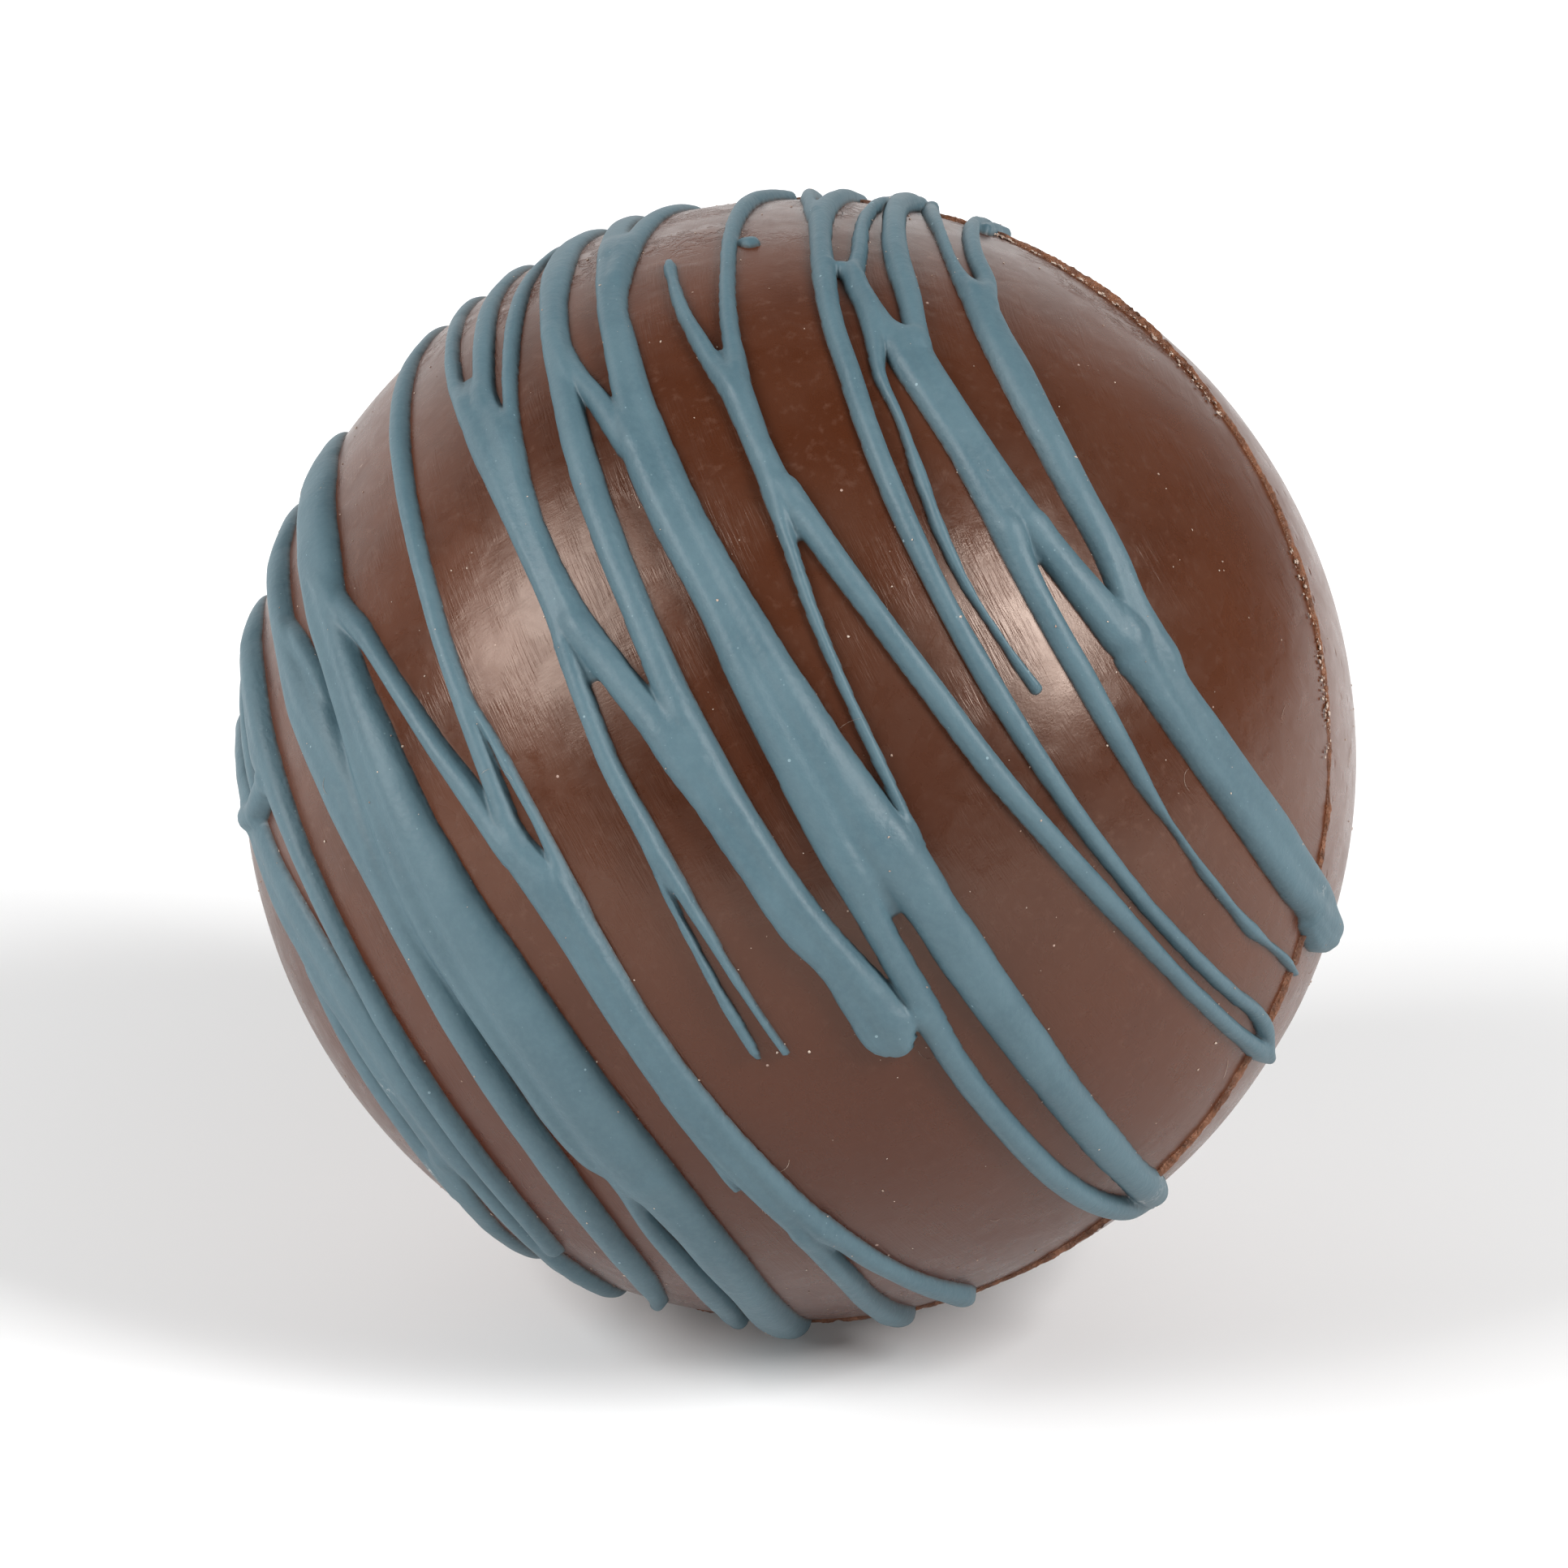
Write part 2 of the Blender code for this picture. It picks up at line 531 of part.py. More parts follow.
def make_tube(name, rings, collection):
    """Closed body through rings of points with the same count."""
    shape = bmesh.new()
    loops = [[shape.verts.new(point) for point in ring] for ring in rings]
    count = len(loops[0])
    for near, far in zip(loops, loops[1:]):
        for index in range(count):
            onward = (index + 1) % count
            shape.faces.new((near[index], near[onward], far[onward], far[index]))
    shape.faces.new(loops[0])
    shape.faces.new(loops[-1])
    bmesh.ops.triangulate(shape, faces=shape.faces[:])
    bmesh.ops.recalc_face_normals(shape, faces=shape.faces)
    mesh = bpy.data.meshes.new(name)
    shape.to_mesh(mesh)
    shape.free()
    collection.objects.link(bpy.data.objects.new(name, mesh))


def make_droplet(collection):
    """Small round drop of drizzle, sunk in the chocolate."""
    wrap, lane, radius, depth = DROPLET
    outward = stroke_direction(wrap, lane)
    shape = bmesh.new()
    bmesh.ops.create_icosphere(shape, subdivisions=1, radius=radius)
    middle = ball_centre() + outward * (ball_radius(outward) - depth)
    shape.transform(Matrix.Translation(middle))
    mesh = bpy.data.meshes.new("droplet")
    shape.to_mesh(mesh)
    shape.free()
    collection.objects.link(bpy.data.objects.new("droplet", mesh))


def make_drizzle():
    """All strands, webs and the droplet, each its own body in one collection."""
    collection = bpy.data.collections.new("drizzle")
    bpy.context.scene.collection.children.link(collection)
    for name, points in STRANDS.items():
        make_tube(name, strand_rings(strand_stations(points), False), collection)
    for name, points in WEBS.items():
        make_tube(name, strand_rings(web_stations(points), True), collection)
    make_droplet(collection)
    return collection


def apply_modifier(item, modifier):
    """Keep the object as the modifier shows it, without the modifier."""
    ready = item.evaluated_get(bpy.context.evaluated_depsgraph_get())
    item_mesh = bpy.data.meshes.new_from_object(ready)
    item.modifiers.remove(modifier)
    item.data = item_mesh


def fuse(ball, collection):
    """Join the drizzle to the ball with one union, then remove its own objects.

    The exact solver leaves open edges where two strands touch, so this is manifold.
    """
    union = ball.modifiers.new("drizzle", "BOOLEAN")
    union.operation = "UNION"
    union.operand_type = "COLLECTION"
    union.collection = collection
    union.solver = "MANIFOLD"
    apply_modifier(ball, union)
    for item in list(collection.objects):
        bpy.data.objects.remove(item, do_unlink=True)
    bpy.data.collections.remove(collection)


def simplify(ball):
    """Bring the fused mesh down to the triangle budget."""
    count = sum(len(face.vertices) - 2 for face in ball.data.polygons)
    lighter = ball.modifiers.new("budget", "DECIMATE")
    lighter.ratio = min(TRIANGLE_BUDGET / count, 1.0)
    apply_modifier(ball, lighter)


def shell_of(start):
    """Faces joined to one face through shared edges."""
    found = {start}
    waiting = [start]
    while waiting:
        face = waiting.pop()
        for edge in face.edges:
            for other in edge.link_faces:
                if other not in found:
                    found.add(other)
                    waiting.append(other)
    return found


def keep_outer_body(shape):
    """Fill sealed hollows and drop loose scraps: only the largest shell stays."""
    left = set(shape.faces)
    shells = []
    while left:
        shell = shell_of(next(iter(left)))
        shells.append(shell)
        left -= shell
    largest = max(shells, key=len)
    loose = [face for face in shape.faces if face not in largest]
    bmesh.ops.delete(shape, geom=loose, context="FACES")


def cut_foot(shape):
    """Flat spot that the ball rests on, at height zero."""
    bmesh.ops.bisect_plane(
        shape,
        geom=shape.verts[:] + shape.edges[:] + shape.faces[:],
        dist=0.000001,
        plane_co=(0.0, 0.0, 0.0),
        plane_no=(0.0, 0.0, -1.0),
        clear_outer=True,
    )
    rim = [edge for edge in shape.edges if edge.is_boundary]
    bmesh.ops.contextual_create(shape, geom=rim)


def finish(ball):
    """One closed body with its flat spot, shaded smooth."""
    shape = bmesh.new()
    shape.from_mesh(ball.data)
    keep_outer_body(shape)
    cut_foot(shape)
    bmesh.ops.triangulate(shape, faces=shape.faces[:])
    bmesh.ops.recalc_face_normals(shape, faces=shape.faces)
    shape.to_mesh(ball.data)
    shape.free()
    ball.data.shade_smooth()
    ball.data.set_sharp_from_angle(angle=math.radians(SHARP_ANGLE))


def chocolate_material():
    """Satin milk chocolate."""
    material = bpy.data.materials.new("milk_chocolate")
    material.use_nodes = True
    shader = material.node_tree.nodes["Principled BSDF"]
    shader.inputs["Base Color"].default_value = CHOCOLATE_COLOUR
    shader.inputs["Roughness"].default_value = CHOCOLATE_ROUGHNESS
    shader.inputs["Metallic"].default_value = 0.0
    return material


def main():
    """Build the sphere."""
    clear_objects()
    ball = make_ball(chocolate_material())
    fuse(ball, make_drizzle())
    simplify(ball)
    finish(ball)


main()
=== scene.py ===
"""Looks of the hot chocolate sphere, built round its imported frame."""

import math

import bmesh
import bpy
import numpy as np
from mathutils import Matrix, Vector


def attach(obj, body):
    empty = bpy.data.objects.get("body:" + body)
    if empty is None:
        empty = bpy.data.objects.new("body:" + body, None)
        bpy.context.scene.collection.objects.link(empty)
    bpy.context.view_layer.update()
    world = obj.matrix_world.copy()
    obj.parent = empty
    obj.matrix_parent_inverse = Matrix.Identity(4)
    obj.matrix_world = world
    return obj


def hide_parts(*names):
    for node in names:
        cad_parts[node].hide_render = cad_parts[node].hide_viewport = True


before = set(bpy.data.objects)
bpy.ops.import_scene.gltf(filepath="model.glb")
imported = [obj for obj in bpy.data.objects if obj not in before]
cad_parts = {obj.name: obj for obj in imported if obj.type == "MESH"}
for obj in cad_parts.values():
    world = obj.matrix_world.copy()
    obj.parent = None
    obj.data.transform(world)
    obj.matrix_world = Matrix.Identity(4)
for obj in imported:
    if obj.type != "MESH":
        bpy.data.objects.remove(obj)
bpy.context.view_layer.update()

# Ball, in metres and degrees, as in the solid part
RIM_RADIUS = 0.0320
POLE_HEIGHT = 0.0306
FOOT_RADIUS = 0.0050
VIEW_ELEVATION = 20.0
AXIS_TURN_LEFT = 23.0
AXIS_RAISE = 1.2
STROKE_AXIS_RIGHT = 29.0
STROKE_AXIS_FORWARD = 12.0
WRAP_START = 1.1
READING_RADIUS = 0.03245
# The move to the real ball is evened out where a spot's depth, as a share, is less than this
LIMB_DEPTH = 0.25
# Metres on the ball for one degree
DEGREE_LENGTH = math.radians(1.0) * RIM_RADIUS

# Ball surface
BALL_RINGS = 176
BALL_SEGMENTS = 400
BALL_WAVE = 0.00005

# Weld between the two halves
WELD_HALF_ANGLE = 2.6
WELD_RINGS = 44
WELD_SEGMENTS = 1300
WELD_PROUD = 0.00040
WELD_GRAIN = 0.00004
# Angles round the view between which the weld flakes
FLAKY_ARCS = ((0.0, 24.0), (38.0, 72.0))
# Places round the view where the weld stands prouder or lower: angle, spread, metres
WELD_SWELLS = ((53.0, 10.0, 0.00018), (-4.0, 17.0, -0.00017), (-5.7, 1.6, 0.00016))

# Height of the drizzle by its width, and the share kept where it lies low
DRIZZLE_HEIGHT = 0.00128
DRIZZLE_THIN_HEIGHT = 0.00012
DRIZZLE_WIDTH_SCALE = 0.0017
LOW_SHARE = 0.55
LOW_START_WRAPS = (-40.0, -70.0)
LOW_START_LANES = (32.0, 14.0)
LOW_EDGE_LANES = (-40.0, -50.0)
# Section of a strand: how flat its top is, how steep its flanks, and its slope outside them
PROFILE_FLATNESS = 2.3
PROFILE_STEEPNESS = 0.54
PROFILE_DIVE = 1.4
# Rounding where strands meet, and how much it grows where both are thick
DRIZZLE_FILLET = 0.00022
MELT_SHARE = 0.65
MELT_HEIGHT = 0.0008
# Inset of each edge of wide and of narrow strands, and the widths between which it changes
EDGE_INSET = 0.00007
NARROW_INSET = 0.00002
INSET_WIDTHS = (0.0007, 0.0018)
LEAST_HALF_WIDTH = 0.0002
# Named grooves, and the faint one of every wide strand, as shares of the height
GROOVE_DEPTH = 0.22
GROOVE_WIDTH = 0.00058
FAINT_GROOVE = 0.09
FAINT_GROOVE_HALVES = (0.0009, 0.0016)
FAINT_GROOVE_SPREAD = 0.28
# Deepest that the skin dives into the chocolate, and the depth at which it is cut off
DRIZZLE_SUNK = 0.00022
DRIZZLE_CUT = 0.00012
# Grid of the skin, in degrees
WRAP_RANGE = (-99.0, 105.0)
LANE_RANGE = (-65.0, 56.0)
WRAP_STEP = 0.75
LANE_STEP = 0.21
# Knots of the thin threads
KNOT_SHARE = 0.13
KNOT_WIDTHS = (0.0006, 0.0012)
# Ends in other strands: how far they run on, and how they rise out of a fork
LINKED_OVERLAP = 3.0
FORK_FLOOR = 0.22
FORK_RAMP = 5.5

# Crumbs and fibres that lie on the surface
CRUMB_COUNT = 900
CRUMB_SIZE = (0.00003, 0.00010)
FLAKE_COUNT = 230
FLAKE_SIZE = (0.00006, 0.00018)
FIBRE_COUNT = 34
FIBRE_RADIUS = 0.000011
FIBRE_LENGTH = (0.0006, 0.0018)
FIBRE_CORNERS = 4
FIBRE_STATIONS = 9
# Crumbs and fibres keep this far off the floor
CRUMB_CLEAR = 0.0008
FIBRE_CLEAR = 0.003

# Wrinkles of the chocolate lie where the strokes begin: turn round the stroke axis, in radians
WRINKLE_WRAPS = (-1.12, -0.92)

# Colours, as linear red, green and blue
CHOCOLATE_TONES = {
    "dark": (0.059, 0.0150, 0.0049), "light": (0.082, 0.0228, 0.0085),
    "dusty": (0.098, 0.040, 0.024), "grain": (0.032, 0.010, 0.005),
    # The next two tones are a painted grey reflection and a painted shade, both where the ball faces
    # the view
    "painted_grey_reflection": (0.052, 0.0235, 0.0150), "shade": (0.042, 0.0125, 0.0066),
    # The first tone on the next line is painted shade: darker and redder chocolate towards the
    # bottom of the view
    "low": (0.058, 0.0118, 0.0040), "warm": (0.078, 0.0190, 0.0042),
    "speck": (0.50, 0.36, 0.30), "scuff": (0.30, 0.20, 0.15), "far": (0.140, 0.070, 0.052),
}
WELD_TONES = {
    "dark": (0.130, 0.045, 0.018), "light": (0.250, 0.098, 0.044), "flake": (0.52, 0.34, 0.24),
}
DRIZZLE_TONES = {
    "dark": (0.057, 0.110, 0.136), "light": (0.069, 0.127, 0.154),
    # The last tone on the next line is painted shade on the low flanks of the strands
    "grain": (0.085, 0.170, 0.200), "painted_flank_shade": (0.028, 0.052, 0.064),
    # The first tone on the next line darkens where the drizzle meets the chocolate: partly its thin
    # brownish edge, partly painted contact shade
    "edge": (0.030, 0.022, 0.018), "chip": (0.50, 0.48, 0.46),
    "mottle": (0.090, 0.155, 0.180), "speck": (0.30, 0.42, 0.46), "fine": (0.24, 0.34, 0.37),
}
CRUMB_TONES = ((0.33, 0.22, 0.165), (0.56, 0.45, 0.37))
FLOOR_TONES = ((0.80, 0.80, 0.80), (0.808, 0.808, 0.808))
WHITE = (1.0, 1.0, 1.0)

# Studio
SURROUND_BRIGHT = 1.27
SURROUND_DARK = 0.08
# Where the surround turns bright: axis, place of the dim end and of the bright end, dim share
SURROUND_RAMPS = (("Y", 0.05, 0.65, 0.0), ("Z", 0.95, 0.36, 0.0), ("X", 0.75, 0.18, 0.12))
# The floor glows from the first strength near the ball to the second one further off
FLOOR_GLOW = (0.07, 0.40)
FLOOR_GLOW_REACH = (0.03, 0.20)
FLOOR_HALF = 4.0
# Softboxes: azimuth to the right of the front, elevation, width, height, watts
SOFTBOXES = {
    "softbox_left": (-66.0, 33.5, 0.48, 0.58, 10.2),
    "softbox_right": (58.0, 37.0, 0.29, 0.48, 10.8),
}
SOFTBOX_DISTANCE = 1.0

# Camera
CAMERA_DISTANCE = 0.384
CAMERA_LENS = 153.74
AIM_RIGHT = -0.000824
AIM_UP = -0.001429

# Strands of drizzle. Each point is the wrap angle along the stroke, then the
# left and right edge of the strand as angles across the strokes, in degrees.
STRANDS = {
    "limb_loop_outer": (
        (-86, -60.5, -58.0), (-70, -58.6, -55.2), (-50, -57.0, -53.6), (-38, -56.2, -52.2),
        (-26, -55.2, -50.8),
    ),
    "limb_loop_inner": (
        (-84, -53.0, -50.8), (-68, -52.2, -49.4), (-50, -51.0, -48.2), (-38, -50.6, -47.8),
        (-27, -51.2, -48.8),
    ),
    "left_band": (
        (-30, -55.2, -52.0), (-25, -55.7, -50.2), (-15, -55.6, -49.3), (-8, -55.3, -48.1),
        (0, -54.4, -47.0), (6, -54.0, -46.3), (12, -53.0, -45.7), (22, -52.3, -45.4),
        (34, -51.7, -45.1), (44, -51.9, -45.0),
    ),
    "left_band_outer_groove": (
        (4, -55.0, -52.8), (14, -55.5, -52.6), (26, -55.5, -52.2), (38, -55.3, -51.6),
        (48, -55.2, -52.2),
    ),
    "left_band_low_outer": (
        (40, -53.4, -48.6), (48, -54.2, -49.6), (56, -55.2, -50.8), (66, -56.4, -51.9),
        (76, -57.2, -53.2), (88, -58.0, -54.6), (97, -57.6, -55.4),
    ),
    "left_band_low_inner": (
        (42, -48.4, -45.2), (50, -48.0, -44.9), (58, -47.7, -44.2), (66, -48.0, -43.3),
        (76, -49.2, -43.8), (86, -50.0, -45.0), (95, -49.8, -46.6),
    ),
    "second_strand": (
        (-90, -49.5, -46.4), (-78, -48.2, -44.2), (-62, -46.9, -41.9), (-50, -46.2, -41.0),
        (-40, -45.9, -40.9), (-34, -46.8, -41.3), (-29, -47.6, -41.7), (-24, -46.4, -42.0),
        (-16, -45.8, -42.2), (-6, -45.5, -42.5), (8, -45.4, -42.4), (22, -45.2, -42.0),
        (36, -44.9, -41.8), (50, -44.5, -41.8), (60, -45.2, -42.6),
    ),
    "third_strand": (
        (-91, -39.6, -36.0), (-78, -38.0, -33.4), (-64, -36.7, -32.2), (-50, -36.1, -32.4),
        (-41, -36.0, -32.7), (-35, -36.1, -32.5), (-30, -36.4, -31.8), (-25, -36.8, -30.8),
        (-18, -36.5, -29.9), (-8, -35.9, -29.9), (2, -35.3, -30.6), (14, -35.3, -31.4),
        (28, -35.2, -31.4), (42, -35.2, -31.5), (52, -35.4, -32.0), (62, -36.2, -33.1),
        (70, -37.5, -35.2), (76, -39.3, -37.2), (83, -41.6, -39.9),
    ),
    "third_strand_side_lobe": (
        (-36, -34.2, -32.1), (-33, -33.4, -31.2), (-30, -32.7, -30.6), (-27, -32.2, -30.1),
        (-24, -31.9, -29.8), (-19, -31.6, -30.2),
    ),
    "wide_stripe": (
        (-90, -32.6, -28.4), (-79, -30.8, -25.4), (-67, -29.3, -23.4), (-56, -28.9, -22.6),
        (-47, -29.1, -22.9), (-38, -29.5, -23.4), (-31, -29.8, -24.1), (-24, -29.7, -24.4),
        (-14, -30.4, -23.9), (-4, -31.6, -23.6), (6, -32.4, -22.9), (16, -31.6, -21.9),
        (26, -30.9, -21.2), (34, -30.7, -20.9), (39, -29.9, -20.7), (43, -28.2, -20.7),
        (48, -28.7, -20.8),
    ),
    "wide_stripe_left_end": (
        (44, -28.2, -25.8), (50, -28.9, -26.8), (57, -29.3, -26.7), (65, -30.0, -27.0),
        (72, -30.8, -28.0), (80, -32.5, -30.0), (88, -34.2, -31.8), (93, -34.8, -33.2),
    ),
    "wide_stripe_right_end": (
        (44, -26.8, -20.7), (52, -26.1, -20.9), (60, -26.4, -21.4), (67, -26.8, -22.3),
        (75, -28.2, -23.3), (83, -29.8, -24.6), (91, -31.0, -26.0), (98, -30.6, -27.6),
    ),
    "cross_strand": (
        (-35, -27.4, -24.6), (-30, -26.2, -23.4), (-26, -24.8, -22.1), (-22, -23.6, -21.4),
        (-15, -22.2, -20.0), (-8, -21.0, -18.5), (-2, -20.0, -17.0), (4, -19.0, -16.2),
    ),
    "fourth_strand": (
        (-91, -13.0, -10.9), (-76, -12.4, -10.1), (-64, -12.4, -10.2), (-56, -13.1, -10.7),
        (-46, -13.9, -11.5), (-36, -14.4, -12.2), (-26, -15.0, -12.9), (-16, -15.7, -13.6),
        (-8, -16.3, -14.1), (0, -17.0, -14.7),
    ),
    "fourth_strand_twin": (
        (-9, -14.6, -13.7), (-6, -14.3, -13.3), (-1, -14.1, -12.9), (5, -13.9, -12.8),
        (11, -14.6, -12.7),
    ),
    "fourth_strand_merged": (
        (-1, -19.8, -14.9), (5, -18.8, -14.7), (10, -18.1, -12.9), (16, -17.5, -12.8),
        (26, -17.3, -13.0), (36, -17.1, -12.6), (45, -16.4, -11.9), (55, -15.4, -11.0),
        (62, -15.4, -10.0),
    ),
    "fourth_strand_side_lobe": (
        (37, -17.2, -16.0), (42, -17.0, -15.8), (46.5, -17.0, -15.8), (48.7, -16.9, -16.1),
    ),
    "fourth_strand_left_end": (
        (58, -15.4, -12.6), (66, -15.7, -12.9), (73, -16.4, -13.6), (80, -17.1, -13.9),
        (87, -18.0, -14.2), (94, -18.9, -15.6),
    ),
    "fourth_strand_right_end": (
        (58, -13.0, -10.5), (65, -12.0, -9.6), (72, -10.9, -8.6), (79, -10.2, -7.4),
        (84, -10.0, -6.8), (89, -10.0, -8.0),
    ),
    "fan_left": (
        (-84, -7.6, -5.6), (-72, -6.9, -4.7), (-62, -6.5, -4.5), (-54, -6.4, -4.7),
        (-47, -6.3, -4.5), (-41, -5.8, -3.6),
    ),
    "fan_middle": (
        (-90, -3.0, 0.0), (-77, -2.0, 0.8), (-66, -1.7, 0.6), (-58, -2.4, 0.0),
        (-50, -3.0, -0.5), (-41, -3.6, -1.3),
    ),
    "fan_right": (
        (-83, 3.6, 6.0), (-73, 3.6, 5.6), (-64, 2.8, 4.4), (-55, 1.4, 3.3),
        (-46, 0.2, 2.0), (-38, -0.8, 0.8), (-31, -1.4, 0.2),
    ),
    "fan_merged": (
        (-46, -6.2, -0.9), (-40, -5.7, -1.0), (-35, -5.4, 0.2), (-29, -4.7, 0.0),
        (-22, -4.1, -0.2), (-15, -3.8, 0.2), (-9, -4.0, 1.0), (-5, -4.4, 1.9),
    ),
    "fan_low_left": (
        (-8, -4.3, -1.9), (-3, -4.7, -2.5), (3, -5.2, -3.0), (10, -5.2, -2.9),
        (16, -5.6, -2.9),
    ),
    "fan_low_left_outer_twin": (
        (14, -5.4, -4.2), (18, -5.8, -4.8), (24, -6.2, -5.2), (29, -6.6, -5.4),
        (34.6, -6.7, -5.8),
    ),
    "fan_low_left_inner_twin": (
        (14, -4.9, -3.0), (19, -4.4, -3.1), (25, -4.3, -3.3), (30, -4.2, -3.4),
        (35.8, -4.0, -3.5),
    ),
    "fan_link": (
        (-9, -2.4, 1.1), (-4, -1.3, 2.2), (1, -0.3, 3.6), (6, 0.4, 5.0),
    ),
    "fifth_strand": (
        (-91, 4.0, 8.6), (-78, 5.0, 9.2), (-66, 5.1, 8.9), (-58, 4.7, 8.5),
        (-51, 4.6, 7.8), (-44, 4.3, 7.5), (-36, 4.1, 7.3), (-28, 3.6, 6.9),
        (-18, 3.3, 6.6), (-8, 3.1, 6.3), (0, 2.6, 6.1),
    ),
    "fifth_strand_merged": (
        (-2, -0.2, 6.1), (5, 0.2, 6.2), (11, 1.1, 6.3), (19, 1.7, 6.5),
        (25, 2.0, 7.0), (30, 3.1, 7.7), (35, 3.0, 8.5), (39, 2.9, 8.6), (41.7, 4.0, 7.4),
    ),
    "fifth_to_sixth_web": (
        (-43, 4.8, 7.4), (-38, 5.6, 8.3), (-33, 7.2, 9.8), (-27, 8.3, 11.4),
    ),
    "sixth_strand_left_start": (
        (-91, 8.6, 12.4), (-78, 10.0, 13.6), (-67, 10.8, 14.0), (-58, 10.8, 14.4),
    ),
    "sixth_strand_right_start": (
        (-88, 15.4, 18.0), (-77, 15.0, 17.8), (-68, 14.3, 17.2), (-60, 13.2, 16.0),
        (-52, 11.9, 14.6),
    ),
    "sixth_strand": (
        (-64, 10.8, 15.2), (-58, 10.8, 15.6), (-52, 10.6, 14.6), (-46, 10.4, 13.7),
        (-38, 10.2, 13.8), (-31, 9.7, 13.8), (-23, 8.9, 14.1), (-15, 9.2, 14.5),
        (-6, 9.8, 15.3), (3, 9.4, 16.1), (11, 9.3, 16.8), (18, 9.0, 17.5),
        (25, 8.9, 18.2), (29, 8.8, 18.1),
    ),
    "sixth_strand_left_end": (
        (22, 8.9, 12.6), (30, 8.7, 11.8), (38, 8.1, 11.3), (46, 7.6, 10.4),
        (56, 7.5, 10.2), (68, 7.5, 10.3), (78, 8.0, 10.8), (86, 8.6, 11.6),
        (93, 9.4, 11.6),
    ),
    "sixth_strand_right_end": (
        (22, 12.4, 18.3), (30, 13.0, 18.1), (38, 13.0, 18.1), (48, 13.1, 17.8),
        (58, 12.9, 17.2), (68, 12.5, 16.6), (78, 12.0, 15.7), (85, 11.2, 15.2),
        (91, 10.6, 14.3), (95.5, 10.4, 13.2),
    ),
    "seventh_strand_left": (
        (-52, 17.6, 18.9), (-47, 17.8, 19.0), (-41, 18.1, 19.6), (-35, 18.7, 20.7),
        (-29, 19.6, 21.6),
    ),
    "seventh_strand_right": (
        (-88, 26.0, 28.0), (-78, 25.3, 27.4), (-68, 24.5, 26.6), (-58, 23.8, 25.5),
        (-48, 23.0, 24.6), (-40, 22.1, 23.8), (-32, 21.2, 23.3),
    ),
    "seventh_strand_merged": (
        (-34, 18.9, 23.4), (-28, 19.7, 23.1), (-21, 20.0, 22.9), (-15, 20.0, 23.3),
        (-9, 19.8, 24.6),
    ),
    "seventh_strand_left_end": (
        (-14, 19.9, 21.8), (-8, 19.6, 21.1), (0, 18.9, 20.1), (8, 18.4, 19.5),
        (15, 17.9, 19.1), (22, 17.2, 18.5),
    ),
    "seventh_strand_right_end": (
        (-13, 21.0, 24.0), (-6, 22.2, 25.0), (2, 23.6, 26.2), (12, 25.0, 27.6),
        (22, 26.1, 28.7), (32, 27.5, 29.9), (42, 28.6, 31.0), (52, 29.6, 31.5),
        (64, 30.1, 31.9), (76, 30.2, 32.0), (84, 29.7, 32.0), (91.5, 29.9, 30.7),
    ),
    "eighth_strand_left_start": (
        (-91, 28.0, 30.0), (-80, 29.6, 31.3), (-71, 30.8, 32.4), (-63, 31.7, 33.2),
    ),
    "eighth_strand": (
        (-92, 32.6, 34.6), (-81, 33.1, 35.0), (-71, 33.0, 35.2), (-63, 32.1, 34.8),
        (-54, 32.1, 34.4), (-45, 31.7, 34.2), (-36, 31.3, 33.6), (-26, 31.1, 33.5),
        (-18, 30.7, 33.1), (-8, 30.4, 32.8), (4, 30.3, 32.5), (12, 30.3, 32.7),
        (22, 30.7, 32.8), (34, 31.2, 33.1), (46, 31.9, 33.5), (58, 32.5, 34.2),
        (70, 33.0, 34.6), (76, 33.0, 34.7), (81, 32.0, 34.1), (86, 30.4, 32.4),
    ),
    "ninth_strand": (
        (-88, 38.0, 39.8), (-78, 38.0, 39.6), (-69, 37.5, 39.0), (-59, 36.7, 38.2),
        (-50, 35.9, 37.7), (-43, 34.6, 36.8), (-37, 35.0, 37.4), (-32, 34.9, 37.2),
        (-26, 34.5, 35.8), (-19, 34.8, 35.8), (-12, 34.2, 35.5), (-4, 33.6, 34.9),
        (3, 33.6, 34.6), (9, 34.2, 34.9), (13, 34.4, 35.3), (17.8, 34.7, 35.9),
    ),
    "tenth_strand": (
        (-92, 37.6, 41.2), (-84, 38.2, 41.8), (-76, 38.9, 41.7), (-64, 39.3, 41.8),
        (-50, 39.1, 41.9), (-40, 39.3, 42.0), (-34, 39.1, 41.6), (-31, 38.6, 41.4),
    ),
    "tenth_strand_merged": (
        (-43, 35.1, 36.9), (-39, 35.4, 37.5), (-36, 35.6, 38.1), (-34, 35.8, 38.8),
        (-31.5, 36.2, 41.0), (-28, 36.4, 41.3), (-21, 37.4, 42.2), (-14, 38.3, 43.1),
        (-6, 38.7, 44.2), (1, 38.8, 45.3), (4, 38.9, 45.8),
    ),
    "tenth_strand_left_end": (
        (0, 38.8, 42.0), (8, 38.8, 41.5), (20, 38.8, 41.4), (30, 38.8, 40.9),
        (37, 38.9, 40.3), (44, 39.4, 39.9), (51, 39.0, 40.1), (60, 39.0, 40.1),
        (65, 38.9, 40.3), (70, 39.4, 40.2), (76, 39.3, 40.4), (82.5, 38.8, 39.6),
    ),
    "tenth_strand_link": (
        (0, 41.4, 45.2), (6, 42.4, 46.3), (12, 43.2, 47.5), (18, 43.8, 48.7),
    ),
    "eleventh_strand_left_start": (
        (-90, 40.8, 42.6), (-81, 42.0, 43.8), (-70, 43.4, 45.1), (-60, 44.7, 46.0),
        (-50, 45.5, 46.8), (-43, 45.9, 48.0),
    ),
    "eleventh_strand_right_start": (
        (-91, 46.4, 48.6), (-80, 47.0, 48.9), (-66, 47.4, 49.2), (-55, 47.7, 49.6),
